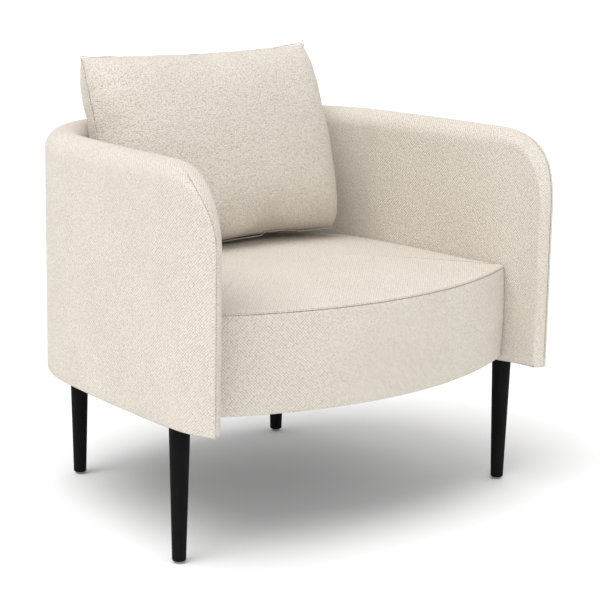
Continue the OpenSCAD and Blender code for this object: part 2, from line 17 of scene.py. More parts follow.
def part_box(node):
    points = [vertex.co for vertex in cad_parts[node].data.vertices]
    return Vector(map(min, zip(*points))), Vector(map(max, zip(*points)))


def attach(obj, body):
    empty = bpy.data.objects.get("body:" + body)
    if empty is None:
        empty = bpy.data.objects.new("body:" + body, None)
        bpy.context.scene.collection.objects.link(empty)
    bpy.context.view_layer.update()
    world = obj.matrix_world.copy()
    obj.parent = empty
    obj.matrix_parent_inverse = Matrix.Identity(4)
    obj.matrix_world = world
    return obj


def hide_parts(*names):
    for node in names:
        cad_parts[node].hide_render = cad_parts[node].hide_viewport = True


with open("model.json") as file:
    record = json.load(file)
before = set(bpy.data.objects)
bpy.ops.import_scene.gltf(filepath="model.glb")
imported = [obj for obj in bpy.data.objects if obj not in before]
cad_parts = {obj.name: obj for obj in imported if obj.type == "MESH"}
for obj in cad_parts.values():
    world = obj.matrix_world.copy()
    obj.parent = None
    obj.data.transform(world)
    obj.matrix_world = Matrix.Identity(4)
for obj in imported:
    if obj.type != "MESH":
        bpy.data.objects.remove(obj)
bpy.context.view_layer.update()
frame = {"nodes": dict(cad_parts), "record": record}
MM = 0.001

# %% [markdown]
# ## Camera
# A long lens from in front, on the side of the sitter's right arm, shows both arms and the
# inside of the shell. The camera is placed by angles round a point in the chair's middle,
# which is easier to read and to change than a bare location and rotation.

# %% Camera
VIEW_AZIMUTH = math.radians(-40.16)
VIEW_ELEVATION = math.radians(12.6)
VIEW_ROLL = math.radians(1.02)
VIEW_TARGET = Vector((0.0896, 0.0205, 0.3298))
VIEW_DISTANCE = 3.4465
LENS = 113.07


def new_object(name, data):
    """An object in the scene for a mesh, a light or a camera."""
    made = bpy.data.objects.new(name, data)
    bpy.context.scene.collection.objects.link(made)
    return made


def make_camera():
    ca, sa = math.cos(VIEW_AZIMUTH), math.sin(VIEW_AZIMUTH)
    ce, se = math.cos(VIEW_ELEVATION), math.sin(VIEW_ELEVATION)
    back = Vector((sa * ce, -ca * ce, se))
    level = Vector((ca, sa, 0))
    upright = back.cross(level)
    right = math.cos(VIEW_ROLL) * level + math.sin(VIEW_ROLL) * upright
    up = back.cross(right)
    camera = new_object("camera", bpy.data.cameras.new("camera"))
    camera.matrix_world = Matrix((right, up, back)).transposed().to_4x4()
    camera.location = VIEW_TARGET + back * VIEW_DISTANCE
    camera.data.lens = LENS
    camera.data.sensor_width = 36
    camera.data.clip_end = 60
    bpy.context.scene.camera = camera
    return camera


camera = make_camera()
print("camera at", [round(v, 3) for v in camera.location])

# %% [markdown]
# ## Node groups for the finishes
# Several finishes share an effect: a weave, loops of boucle yarn, wood grain, a soft change of
# tone over a large surface. Each effect is a shader node group with named inputs, made once.
# A group gives out only colours, masks and heights; each material keeps its own shader.

# %% Helpers for node groups and materials
def new_group(name, inputs, outputs):
    group = bpy.data.node_groups.new(name, "ShaderNodeTree")
    for label, kind, value in inputs:
        socket = group.interface.new_socket(label, in_out="INPUT", socket_type=kind)
        if value is not None:
            socket.default_value = value
    for label, kind in outputs:
        group.interface.new_socket(label, in_out="OUTPUT", socket_type=kind)
    start = group.nodes.new("NodeGroupInput")
    end = group.nodes.new("NodeGroupOutput")
    return group, start, end


def add(tree, kind, settings=(), inputs=()):
    """A new node with its settings, and its inputs set to a number or joined to a socket."""
    made = tree.nodes.new("ShaderNode" + kind)
    for key, value in dict(settings).items():
        setattr(made, key, value)
    for key, value in dict(inputs).items():
        if isinstance(value, bpy.types.NodeSocket):
            tree.links.new(value, made.inputs[key])
        else:
            made.inputs[key].default_value = value
    return made


def maths(tree, operation, *values):
    return add(tree, "Math", {"operation": operation}, dict(enumerate(values))).outputs[0]


def mixed(tree, share, low, high):
    """A colour between low and high."""
    made = add(tree, "Mix", {"data_type": "RGBA"}, {0: share, 6: low, 7: high})
    return made.outputs[2]


def use(tree, group, **values):
    """Places a node group in a tree; an underscore stands for a space in an input's name."""
    placed = tree.nodes.new("ShaderNodeGroup")
    placed.node_tree = group
    for key, value in values.items():
        socket = placed.inputs[key.replace("_", " ")]
        if isinstance(value, bpy.types.NodeSocket):
            tree.links.new(value, socket)
        else:
            socket.default_value = value
    return placed.outputs


# %% A soft change of tone over a large surface
def make_tone_group():
    group, start, end = new_group(
        "tone_drift",
        [("Vector", "NodeSocketVector", None), ("Size", "NodeSocketFloat", 0.12),
         ("Contrast", "NodeSocketFloat", 0.5)],
        [("Mask", "NodeSocketFloat")])
    scale = maths(group, "DIVIDE", 1.0, start.outputs["Size"])
    cloud = add(group, "TexNoise", {}, {"Vector": start.outputs["Vector"], "Scale": scale,
                                        "Detail": 3.0, "Roughness": 0.55})
    centred = maths(group, "SUBTRACT", cloud.outputs["Fac"], 0.5)
    spread = maths(group, "MULTIPLY_ADD", centred, start.outputs["Contrast"], 0.5)
    clamped = add(group, "Clamp", {}, {0: spread})
    group.links.new(clamped.outputs[0], end.inputs["Mask"])
    return group


tone_drift = make_tone_group()
print("made", tone_drift.name)

# %% [markdown]
# The cover is a fine weave laid on the bias: rows of small nubs that run diagonally. A cell
# pattern with little randomness, turned by 45 degrees, gives rows that are regular but not
# perfect, as thick and thin yarn makes them. Looser cells in three dimensions give boucle.

# %% Weave and boucle relief
def make_nub_group(name, flat):
    """Nubs of yarn. A flat weave reads its rows from UVs in metres, boucle from the position."""
    group, start, end = new_group(
        name,
        [("Vector", "NodeSocketVector", None), ("Pitch", "NodeSocketFloat", 0.003),
         ("Disorder", "NodeSocketFloat", 0.5), ("Wander", "NodeSocketFloat", 0.001)],
        [("Height", "NodeSocketFloat"), ("Gap shade", "NodeSocketFloat"), ("Yarn", "NodeSocketFloat")])
    vector, pitch = start.outputs["Vector"], start.outputs["Pitch"]
    drift = add(group, "TexNoise", {}, {"Vector": vector, "Scale": 90.0, "Detail": 2.0})
    centred = add(group, "VectorMath", {"operation": "SUBTRACT"},
                  {0: drift.outputs["Color"], 1: (0.5, 0.5, 0.5)})
    shift = add(group, "VectorMath", {"operation": "SCALE"},
                {0: centred.outputs[0], "Scale": start.outputs["Wander"]})
    moved = add(group, "VectorMath", {"operation": "ADD"}, {0: vector, 1: shift.outputs[0]})
    turned = add(group, "VectorRotate", {"rotation_type": "Z_AXIS"},
                 {"Vector": moved.outputs[0], "Angle": math.radians(45 if flat else 0)})
    scale = maths(group, "DIVIDE", 1.0, pitch)
    cells = add(group, "TexVoronoi",
                {"voronoi_dimensions": "2D" if flat else "3D", "feature": "F1"},
                {"Vector": turned.outputs[0], "Scale": scale,
                 "Randomness": start.outputs["Disorder"]})
    dome = maths(group, "MULTIPLY_ADD", maths(group, "POWER", cells.outputs["Distance"], 1.6),
                 -1.25, 1.0)
    fibre = add(group, "TexNoise", {}, {"Vector": vector, "Scale": maths(group, "MULTIPLY", scale, 3.1),
                                        "Detail": 2.0, "Roughness": 0.6})
    height = maths(group, "MULTIPLY_ADD", fibre.outputs["Fac"], 0.35, dome)
    group.links.new(height, end.inputs["Height"])
    # Low places between the nubs give a mask for painted shade, which darkens the colour there.
    gap_shade = add(group, "MapRange", {}, {"Value": height, "From Min": 0.35, "From Max": 0.95,
                                       "To Min": 1.0, "To Max": 0.0})
    group.links.new(gap_shade.outputs[0], end.inputs["Gap shade"])
    tint = add(group, "SeparateColor", {}, {0: cells.outputs["Color"]})
    group.links.new(tint.outputs[0], end.inputs["Yarn"])
    return group


flat_weave = make_nub_group("bias_weave", flat=True)
loop_pile = make_nub_group("boucle_loops", flat=False)
print("made", flat_weave.name, "and", loop_pile.name)

# %% Wood grain and fine speckle
def make_grain_group():
    group, start, end = new_group(
        "long_grain",
        [("Vector", "NodeSocketVector", None), ("Stretch", "NodeSocketFloat", 12.0),
         ("Pore size", "NodeSocketFloat", 0.0012)],
        [("Rings", "NodeSocketFloat"), ("Pores", "NodeSocketFloat")])
    parts = add(group, "SeparateXYZ", {}, {0: start.outputs["Vector"]})
    squeezed = maths(group, "DIVIDE", parts.outputs[2], start.outputs["Stretch"])
    along = add(group, "CombineXYZ", {}, {0: parts.outputs[0], 1: parts.outputs[1], 2: squeezed})
    rings = add(group, "TexNoise", {}, {"Vector": along.outputs[0], "Scale": 120.0, "Detail": 4.0,
                                        "Distortion": 1.2})
    pores = add(group, "TexNoise", {},
                {"Vector": along.outputs[0], "Detail": 1.0,
                 "Scale": maths(group, "DIVIDE", 1.0, start.outputs["Pore size"])})
    sharp = add(group, "MapRange", {}, {"Value": pores.outputs["Fac"], "From Min": 0.5,
                                        "From Max": 0.72})
    group.links.new(rings.outputs["Fac"], end.inputs["Rings"])
    group.links.new(sharp.outputs[0], end.inputs["Pores"])
    return group


long_grain = make_grain_group()
print("made", long_grain.name)

# %% [markdown]
# ## Finishes
# Each finish has one function, named for what it is on the chair. Cloth is rough with a little
# sheen; colour changes slightly from yarn to yarn, and shade is painted into the gaps between them.

# %% A blank finish to build on
def blank(name, roughness, sheen=0.0, metallic=0.0):
    material = bpy.data.materials.new(name)
    material.use_nodes = True
    tree = material.node_tree
    shader = tree.nodes["Principled BSDF"]
    shader.inputs["Roughness"].default_value = roughness
    shader.inputs["Metallic"].default_value = metallic
    if sheen:
        shader.inputs["Sheen Weight"].default_value = sheen
        shader.inputs["Sheen Roughness"].default_value = 0.45
    return material, tree, shader, add(tree, "TexCoord").outputs


def raise_surface(tree, shader, height, depth, strength=1.0):
    bump = add(tree, "Bump", {}, {"Height": height, "Distance": depth, "Strength": strength})
    tree.links.new(bump.outputs[0], shader.inputs["Normal"])


def colour(tree, shader, socket):
    tree.links.new(socket, shader.inputs["Base Color"])


# %% Cream cloth, woven and boucle
CREAM_HIGH = (0.755, 0.706, 0.636, 1)
CREAM_LOW = (0.60, 0.545, 0.475, 1)
# The darkest cream is painted shade, laid into the gaps between the nubs.
CREAM_GAP_SHADE = (0.34, 0.28, 0.222, 1)


def cream_cloth(name, group, where, pitch, disorder, wander, depth, gap_shade_share):
    material, tree, shader, place = blank(name, roughness=0.92, sheen=0.12)
    relief = use(tree, group, Vector=place[where], Pitch=pitch, Disorder=disorder, Wander=wander)
    drift = use(tree, tone_drift, Vector=place["Object"], Size=0.09, Contrast=0.9)
    yarn = maths(tree, "MULTIPLY_ADD", relief["Yarn"], 0.45, maths(tree, "MULTIPLY", drift["Mask"], 0.55))
    body = mixed(tree, yarn, CREAM_HIGH, CREAM_LOW)
    # The gaps between the nubs are darkened in colour: painted shade.
    colour(tree, shader, mixed(tree, maths(tree, "MULTIPLY", relief["Gap shade"], gap_shade_share), body, CREAM_GAP_SHADE))
    raise_surface(tree, shader, relief["Height"], depth)
    return material


cover_cloth = cream_cloth("cream_weave", flat_weave, "UV", pitch=3.7 * MM, disorder=0.28,
                          wander=1.6 * MM, depth=1.0 * MM, gap_shade_share=0.85)
cushion_cloth = cream_cloth("cushion_boucle", loop_pile, "Object", pitch=3.0 * MM, disorder=0.9,
                            wander=1.8 * MM, depth=0.9 * MM, gap_shade_share=0.40)
print("cloth finishes:", cover_cloth.name, cushion_cloth.name)

# %% Thread and zip tape
def plain_cloth(name, high, low, pitch, depth, roughness=0.9, sheen=0.1):
    material, tree, shader, place = blank(name, roughness, sheen)
    relief = use(tree, loop_pile, Vector=place["Object"], Pitch=pitch, Disorder=0.9, Wander=0.5 * MM)
    # The low colour is painted shade, laid into the gaps between the nubs.
    colour(tree, shader, mixed(tree, relief["Gap shade"], high, low))
    raise_surface(tree, shader, relief["Height"], depth)
    return material


# The thread is dark so that the stitches also paint the shade in the seam's groove.
thread_and_seam_shade = plain_cloth("thread_and_seam_shade", (0.22, 0.175, 0.135, 1), (0.13, 0.10, 0.075, 1), 0.9 * MM, 0.2 * MM)
zip_tape = plain_cloth("zip_tape", (0.72, 0.66, 0.57, 1), (0.50, 0.44, 0.36, 1), 1.1 * MM, 0.2 * MM)
black_lining = plain_cloth("black_lining", (0.030, 0.030, 0.031, 1), (0.012, 0.012, 0.013, 1), 1.6 * MM,
                           0.25 * MM, roughness=0.85, sheen=0.2)
webbing = plain_cloth("webbing", (0.055, 0.055, 0.056, 1), (0.02, 0.02, 0.02, 1), 2.4 * MM, 0.5 * MM)
wadding = plain_cloth("wadding", (0.88, 0.88, 0.86, 1), (0.74, 0.74, 0.72, 1), 3.0 * MM, 0.8 * MM)
foam = plain_cloth("foam", (0.86, 0.80, 0.52, 1), (0.70, 0.62, 0.36, 1), 1.4 * MM, 0.4 * MM, sheen=0.0)
print("thread, tape, lining, webbing, wadding and foam are ready")

# %% Wood
def wood(name, light, dark, roughness, pore_depth, shine=0.5, stretch=14.0):
    material, tree, shader, place = blank(name, roughness)
    shader.inputs["Specular IOR Level"].default_value = shine
    grain = use(tree, long_grain, Vector=place["Object"], Stretch=stretch, Pore_size=1.3 * MM)
    wear = use(tree, tone_drift, Vector=place["Object"], Size=0.02, Contrast=1.2)
    share = maths(tree, "MULTIPLY_ADD", wear["Mask"], 0.3, maths(tree, "MULTIPLY", grain["Rings"], 0.7))
    colour(tree, shader, mixed(tree, share, light, dark))
    rough = maths(tree, "MULTIPLY_ADD", grain["Rings"], 0.16, roughness - 0.08)
    tree.links.new(rough, shader.inputs["Roughness"])
    height = maths(tree, "MULTIPLY_ADD", grain["Pores"], -1.0, maths(tree, "MULTIPLY", grain["Rings"], 0.6))
    raise_surface(tree, shader, height, pore_depth)
    return material


black_wood = wood("black_stained_wood", (0.0055, 0.005, 0.005, 1), (0.0025, 0.0022, 0.0022, 1), 0.7,
                  0.3 * MM, shine=0.10)
beech = wood("beech", (0.62, 0.43, 0.26, 1), (0.48, 0.31, 0.17, 1), 0.62, 0.12 * MM)
plywood = wood("plywood", (0.66, 0.49, 0.29, 1), (0.52, 0.36, 0.19, 1), 0.65, 0.12 * MM, stretch=9.0)
print("wood finishes are ready")

# %% Plastic and steel
def moulded_plastic():
    material, tree, shader, place = blank("grey_plastic", 0.48)
    drift = use(tree, tone_drift, Vector=place["Object"], Size=0.006, Contrast=1.0)
    colour(tree, shader, mixed(tree, drift["Mask"], (0.36, 0.36, 0.355, 1), (0.25, 0.25, 0.245, 1)))
    raise_surface(tree, shader, drift["Mask"], 0.12 * MM)
    return material


def plated_steel():
    material, tree, shader, place = blank("plated_steel", 0.34, metallic=1.0)
    drift = use(tree, tone_drift, Vector=place["Object"], Size=0.004, Contrast=1.3)
    colour(tree, shader, mixed(tree, drift["Mask"], (0.66, 0.66, 0.68, 1), (0.46, 0.46, 0.48, 1)))
    tree.links.new(maths(tree, "MULTIPLY_ADD", drift["Mask"], 0.2, 0.25), shader.inputs["Roughness"])
    raise_surface(tree, shader, drift["Mask"], 0.05 * MM)
    return material


grey_plastic = moulded_plastic()
steel = plated_steel()
print("plastic and steel are ready")

# %% [markdown]
# ## Mesh helpers
# The cloth skins are patches of points in rows. Patches that share an edge are made with the
# same points there and then welded, so a seam in the mesh is never seen unless it is wanted.
# Each patch also carries UVs in metres, so that the weave keeps its true size everywhere.

# %% Patches and pieces
class Patches:
    """Collects rows of points with UVs, then makes one welded mesh of them."""

    def __init__(self):
        self.points, self.uvs, self.faces = [], [], []

    def grid(self, points, uvs, close=False):
        points, uvs = np.asarray(points, float), np.asarray(uvs, float)
        rows, columns = points.shape[:2]
        base = len(self.points)
        self.points.extend(points.reshape(-1, 3))
        self.uvs.extend(uvs.reshape(-1, 2))
        for i in range(rows - 1):
            for j in range(columns - 1 + bool(close)):
                k = (j + 1) % columns
                a, b = base + i * columns + j, base + i * columns + k
                self.faces.append((a, b, b + columns, a + columns))

    def piece(self, name, finish, weld=0.02 * MM):
        mesh = bpy.data.meshes.new(name)
        mesh.from_pydata([tuple(p) for p in self.points], [], self.faces)
        layer = mesh.uv_layers.new(name="metres")
        corners = np.zeros(len(mesh.loops), int)
        mesh.loops.foreach_get("vertex_index", corners)
        layer.data.foreach_set("uv", np.asarray(self.uvs, np.float32)[corners].ravel())
        return finish_piece(name, mesh, finish, weld)


def finish_piece(name, mesh, finish, weld=0.02 * MM):
    shape = bmesh.new()
    shape.from_mesh(mesh)
    if weld:
        bmesh.ops.remove_doubles(shape, verts=shape.verts, dist=weld)
        bmesh.ops.dissolve_degenerate(shape, edges=shape.edges, dist=weld)
    bmesh.ops.recalc_face_normals(shape, faces=shape.faces)
    for face in shape.faces:
        face.smooth = True
    shape.to_mesh(mesh)
    shape.free()
    mesh.materials.append(finish)
    return new_object(name, mesh)


def steps(low, high, count):
    return [low + (high - low) * i / count for i in range(count + 1)]


def ease_in(t):
    t = min(1.0, max(0.0, t))
    return t * t * (3 - 2 * t)


print("mesh helpers are ready")

# %% [markdown]
# ## The line of the shell
# Seen from above, the shell's outer face is a chain of arcs that run into each other without a
# kink: back, rear corner, arm and nose. A point on the wall is then said by three numbers, the
# run along the wall from the back's middle, the height, and the depth in from the outer face.

# %% Arcs of the shell, as seen from above
shell_low, shell_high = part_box("shell_cover")
HALF_WIDTH = shell_high.x
BACK_Y = shell_high.y
SHELL_TOP = shell_high.z
SHELL_BOTTOM = shell_low.z
TIP_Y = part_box("left_arm_strip")[0].y
BACK_ANGLE, CORNER_END, NOSE_START, NOSE_END = (math.radians(a) for a in (18.3, 83.5, 90.5, 117.3))
CORNER_RADIUS, NOSE_RADIUS = 0.255, 0.184
WALL, NOSE_WALL, NOSE_TAPER = 0.066, 0.024, 0.183
ARM_CORNER = 0.130


def shell_arcs():
    """Radii of the four arcs; back and arm follow from the shell's width and depth."""
    width = HALF_WIDTH - CORNER_RADIUS * (math.sin(CORNER_END) - math.sin(BACK_ANGLE))
    depth = (BACK_Y - TIP_Y - CORNER_RADIUS * (math.cos(BACK_ANGLE) - math.cos(CORNER_END))
             - NOSE_RADIUS * (math.cos(NOSE_START) - math.cos(NOSE_END)))
    rows = [[math.sin(BACK_ANGLE), 1 - math.sin(CORNER_END)],
            [1 - math.cos(BACK_ANGLE), math.cos(CORNER_END) - math.cos(NOSE_START)]]
    back, arm = np.linalg.solve(rows, [width, depth])
    return [back, CORNER_RADIUS, arm, NOSE_RADIUS]


RADII = shell_arcs()
ANGLES = [0.0, BACK_ANGLE, CORNER_END, NOSE_START, NOSE_END]
RUNS = [0.0]
CENTRES = [np.array([0.0, BACK_Y - RADII[0]])]
for i, radius in enumerate(RADII):
    RUNS.append(RUNS[-1] + radius * (ANGLES[i + 1] - ANGLES[i]))
    if i:
        a = ANGLES[i]
        CENTRES.append(CENTRES[-1] + (RADII[i - 1] - radius) * np.array([math.sin(a), math.cos(a)]))
TIP = RUNS[4]
BEND = TIP - ARM_CORNER
NOSE_RUN = TIP - NOSE_TAPER
print("arc radii in mm", [round(r * 1000) for r in RADII], "run to the tip", round(TIP, 4))

# %% Points and thickness of the wall
def wall_thickness(run):
    return WALL - (WALL - NOSE_WALL) * max(0.0, (abs(run) - NOSE_RUN) / NOSE_TAPER) ** 2


def on_wall(run, height, depth):
    """Point on the wall; a negative run is left of the middle, a positive one right of it."""
    s = min(abs(run), TIP)
    i = max(k for k in range(4) if s >= RUNS[k] or k == 0)
    angle = ANGLES[i] + (s - RUNS[i]) / RADII[i]
    reach = RADII[i] - depth
    x = CENTRES[i][0] + reach * math.sin(angle)
    y = CENTRES[i][1] + reach * math.cos(angle)
    ahead = abs(run) - s
    x += ahead * math.cos(angle)
    y -= ahead * math.sin(angle)
    return (math.copysign(x, run) if x > 1e-9 else 0.0, y, height)


print("wall at the tip is", round(wall_thickness(TIP) * 1000, 1), "mm thick")

# %% [markdown]
# ## The shell's cover
# The wall's upper edge is a full roll. Round the arm's front corner the roll flattens into a
# narrow strip, sewn to the outside panel along one seam, which runs down to the foot.
# The outline of the wall, seen square on, is followed from foot to foot, and at each place the
# edge's section is drawn across the wall: a quarter round, a flat, and a quarter round.

# %% Outline of the wall
EDGE = 4.5 * MM
FOOT_ROUND = 4.0 * MM
FOOT = SHELL_BOTTOM - 0.5 * MM
SIDE_ROWS = 34
TOP_COLUMNS = 84
BEND_COLUMNS = 34


def edge_radius(run, turn):
    """Radius of the edge: a full roll on top, tight where the strip runs down the front."""
    roll = wall_thickness(run) / 2
    return roll + (EDGE - roll) * ease_in(turn / math.radians(62))


def half_outline():
    """From the back's middle to the front: run, height, direction into the wall, edge radius."""
    rows = []
    for s in steps(0.0, BEND, TOP_COLUMNS):
        rows.append((s, SHELL_TOP, 0.0, -1.0, edge_radius(s, 0.0)))
    for turn in steps(0.0, math.pi / 2, BEND_COLUMNS)[1:]:
        s = BEND + ARM_CORNER * math.sin(turn)
        z = SHELL_TOP - ARM_CORNER + ARM_CORNER * math.cos(turn)
        rows.append((s, z, -math.sin(turn), -math.cos(turn), edge_radius(s, turn)))
    corner = len(rows) - 1
    for z in steps(SHELL_TOP - ARM_CORNER, FOOT + FOOT_ROUND, SIDE_ROWS)[1:]:
        rows.append((TIP, z, -1.0, 0.0, EDGE))
    return rows, corner


outline, corner_row = half_outline()
print(len(outline), "places along half of the shell's outline")

# %% Section across the edge
QUARTER = [math.radians(a) for a in (0, 9, 18, 27, 36, 45, 54, 63, 72, 81, 90)]
FLAT_SHARES = [0.04, 0.10, 0.18, 0.3, 0.4, 0.5, 0.6, 0.7, 0.82, 0.90, 0.96]
SEAM_DEPTH = 1.9 * MM
SEAM_HALF_WIDTH = 2.6 * MM
STRIP_SWELL = 1.0 * MM


def seam_strength(turn):
    """The strip's seam fades out into the roll above the arm's corner."""
    return ease_in((turn - math.radians(16)) / math.radians(16))


def edge_section(run, height, into_run, into_height, radius, seam):
    """Points from the outside face, over the edge, to the inside face, with UVs."""
    thick = wall_thickness(run)
    flat = max(0.0, thick - 2 * radius)
    arc = radius * math.pi / 2
    rows = [(radius * (1 - math.sin(a)), radius * (1 - math.cos(a)), radius * a) for a in QUARTER]
    inside_from = len(rows) + len(FLAT_SHARES)
    rows += [(0.0, radius + flat * f, arc + flat * f) for f in FLAT_SHARES]
    rows += [(w, d, 2 * arc + flat - q) for w, d, q in reversed(rows[:len(QUARTER)])]
    sign = math.copysign(1, run)
    points, uvs = [], []
    for i, (inward, depth, along) in enumerate(rows):
        if i >= inside_from:
            depth = wall_thickness(abs(run) + into_run * inward) - depth
        from_seam = abs(along - arc)
        groove = SEAM_DEPTH * seam * max(0.0, 1 - from_seam / SEAM_HALF_WIDTH) ** 2
        on_strip = max(0.0, 1 - abs(depth - thick / 2) / max(flat / 2, 1e-6))
        swell = STRIP_SWELL * seam * math.sin(on_strip * math.pi / 2) ** 2
        pulled = inward + groove - (swell if flat > 0.002 else 0.0)
        points.append(on_wall(run + sign * into_run * pulled, height + into_height * pulled, depth))
        uvs.append((0.0, along))
    return points, uvs


# %% Cover of the shell
def shell_cover():
    skin = Patches()
    half = outline[:corner_row + 1]
    for sign in (-1, 1):
        front_uv = 0.0
        points, uvs, last = [], [], None
        for k, (s, z, into_s, into_z, radius) in enumerate(outline):
            turn = math.acos(max(-1.0, min(1.0, -into_z)))
            ring, spots = edge_section(sign * s if s else sign * 1e-9, z, into_s, into_z, radius,
                                       seam_strength(turn))
            if last is not None:
                front_uv += math.hypot(s - last[0], z - last[1])
            last = (s, z)
            points.append(ring)
            uvs.append([(sign * front_uv, SHELL_TOP + v[1]) for v in spots])
        skin.grid(points, uvs)
        for inside in (False, True):
            columns, spots = [], []
            for s, z, into_s, into_z, radius in half:
                run = s + into_s * radius
                top = z + into_z * radius
                depth = wall_thickness(run) if inside else 0.0
                heights = steps(top, FOOT + FOOT_ROUND, SIDE_ROWS)
                columns.append([on_wall(sign * run if run else sign * 1e-9, h, depth) for h in heights])
                spots.append([(sign * run, (2 * SHELL_TOP - h) if inside else h) for h in heights])
            skin.grid(columns, spots)
    return skin


shell_skin = shell_cover()
print(len(shell_skin.faces), "faces in the shell's cover before its foot")

# %% [markdown]
# The cloth turns under the shell's lower edge and ends a finger's width in, where the black
# base cloth starts. So the foot is a small round, a flat return, and a step up behind the
# base cloth that closes the skin.

# %% Foot of the shell
RETURN = 11.0 * MM
RETURN_STEP = 3.5 * MM


def foot_ring(sign, inset, height, across=False):
    """One line round the foot at an inset: outside columns, the arm's front, inside columns."""
    columns = [s + into_s * r for s, z, into_s, into_z, r in outline[:corner_row + 1]]
    tip = wall_thickness(TIP)
    spots = [(min(run, TIP - inset), "out") for run in columns]
    corner = max(0.0, EDGE - inset)
    base = max(EDGE, inset)
    spots += [(TIP - base + corner * math.sin(a), base - corner * math.cos(a)) for a in QUARTER]
    for f in FLAT_SHARES:
        spots.append((TIP - inset, min(tip - inset, max(inset, EDGE + (tip - 2 * EDGE) * f))))
    spots += [(TIP - base + corner * math.sin(a), tip - base + corner * math.cos(a))
              for a in reversed(QUARTER)]
    spots += [(min(run, TIP - inset), "in") for run in reversed(columns)]
    points, uvs = [], []
    for run, depth in spots:
        thick = wall_thickness(run)
        real = inset if depth == "out" else thick - inset if depth == "in" else depth
        points.append(on_wall(sign * max(run, 1e-9), height, real))
        uvs.append((sign * run, height - inset))
    return points, uvs


def add_foot(skin):
    turns = [math.radians(a) for a in (0, 22, 45, 67, 90)]
    levels = [(FOOT_ROUND * (1 - math.cos(a)), FOOT + FOOT_ROUND * (1 - math.sin(a))) for a in turns]
    levels += [(0.65 * RETURN, FOOT), (RETURN, FOOT), (RETURN + 0.2 * MM, FOOT + RETURN_STEP)]
    for sign in (-1, 1):
        rings = [foot_ring(sign, inset, height) for inset, height in levels]
        skin.grid([r[0] for r in rings], [r[1] for r in rings])
        inset, height = levels[-1]
        rows, spots = [], []
        for s, z, into_s, into_z, r in outline[:corner_row + 1]:
            run = max(min(s + into_s * r, TIP - inset), 1e-9)
            thick = wall_thickness(run)
            depths = [inset]
            depths += [min(thick - inset, max(inset, EDGE + (thick - 2 * EDGE) * f)) for f in FLAT_SHARES]
            depths += [thick - inset]
            rows.append([on_wall(sign * run, height, d) for d in depths])
            spots.append([(sign * run, height - d) for d in depths])
        skin.grid(rows, spots)


add_foot(shell_skin)
shell = shell_skin.piece("shell_upholstery", cover_cloth)
print("shell cover has", len(shell.data.polygons), "faces")

# %% [markdown]
# A sewn seam shows as a fine line with the thread just visible at the bottom of the groove.
# The groove is in the cover's own mesh; the stitches are one more mesh of short bars that
# follow the same line, so that they catch the light as thread does. Their thread is coloured dark, as
# painted shade for the groove.

# %% Stitches along a line
STITCH_PITCH = 4.2 * MM
STITCH_LENGTH = 3.1 * MM
STITCH_RADIUS = 0.6 * MM
STITCH_SIDES = 6
STITCH_FACES = 4 * STITCH_SIDES + 2


def stitches(name, lines):
    """Short round bars along each line of points, with their ends bent into the cloth."""
    points, faces = [], []
    for line, normals in lines:
        line, normals = np.asarray(line, float), np.asarray(normals, float)
        legs = np.linalg.norm(np.diff(line, axis=0), axis=1)
        run = np.concatenate([[0], np.cumsum(legs)])
        for middle in np.arange(STITCH_PITCH, run[-1] - STITCH_PITCH, STITCH_PITCH):
            ends = []
            for at in (-0.5, -0.3, 0.0, 0.3, 0.5):
                where = middle + at * STITCH_LENGTH
                centre = np.array([np.interp(where, run, line[:, k]) for k in range(3)])
                normal = np.array([np.interp(where, run, normals[:, k]) for k in range(3)])
                normal /= np.linalg.norm(normal)
                ends.append((centre - normal * STITCH_RADIUS * (2.2 * (2 * at) ** 4 - 0.2), normal))
            heading = ends[-1][0] - ends[0][0]
            heading /= np.linalg.norm(heading)
            base = len(points)
            for centre, normal in ends:
                side = np.cross(heading, normal)
                for k in range(STITCH_SIDES):
                    a = k * 2 * math.pi / STITCH_SIDES
                    points.append(centre + STITCH_RADIUS * (math.cos(a) * side + math.sin(a) * normal))
            last = len(points) - STITCH_SIDES
            for row in range(base, last, STITCH_SIDES):
                for k in range(STITCH_SIDES):
                    a, b = row + k, row + (k + 1) % STITCH_SIDES
                    faces.append((a, b, b + STITCH_SIDES, a + STITCH_SIDES))
            faces.append(tuple(base + k for k in range(STITCH_SIDES)))
            faces.append(tuple(last + k for k in reversed(range(STITCH_SIDES))))
    mesh = bpy.data.meshes.new(name)
    mesh.from_pydata([tuple(p) for p in points], [], faces)
    return finish_piece(name, mesh, thread_and_seam_shade, weld=0)


# %% Seams of the arms' strips
def strip_seams():
    lines = []
    for sign in (-1, 1):
        line, normals = [], []
        for s, z, into_s, into_z, radius in outline:
            turn = math.acos(max(-1.0, min(1.0, -into_z)))
            if seam_strength(turn) < 0.6 or z < FOOT + 2 * FOOT_ROUND:
                continue
            sunk = SEAM_DEPTH * 0.72
            run = sign * (s + into_s * sunk)
            here = np.array(on_wall(run, z + into_z * sunk, radius))
            further = np.array(on_wall(run + sign * into_s * MM, z + into_z * (sunk + MM), radius))
            line.append(here)
            normals.append((here - further) / np.linalg.norm(here - further))
        lines.append((line, normals))
    return lines


arm_stitches = stitches("arm_seam_stitches", strip_seams())
print("arm seams have", len(arm_stitches.data.polygons) // STITCH_FACES, "stitches")

# %% [markdown]
# ## The seat
# The seat is one upholstered block between the arms: a crowned top panel sewn to a front
# border that follows the bow. It is drawn as rings, one inside the other, round the outline
# seen from above. Where it meets the shell the cloth is tucked down out of sight.

# %% Outline of the seat, seen from above
border_low, border_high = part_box("seat_border")
SEAT_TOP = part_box("seat_cover_top")[1].z
SEAT_SEAM = border_high.z
SEAT_BOTTOM = border_low.z
SEAT_FRONT = border_low.y
BOW_RADIUS = 0.695
SEAT_GAP = 0.8 * MM
SEAT_CORNER = 9 * MM
SIDE_POINTS, BOW_POINTS = 220, 90


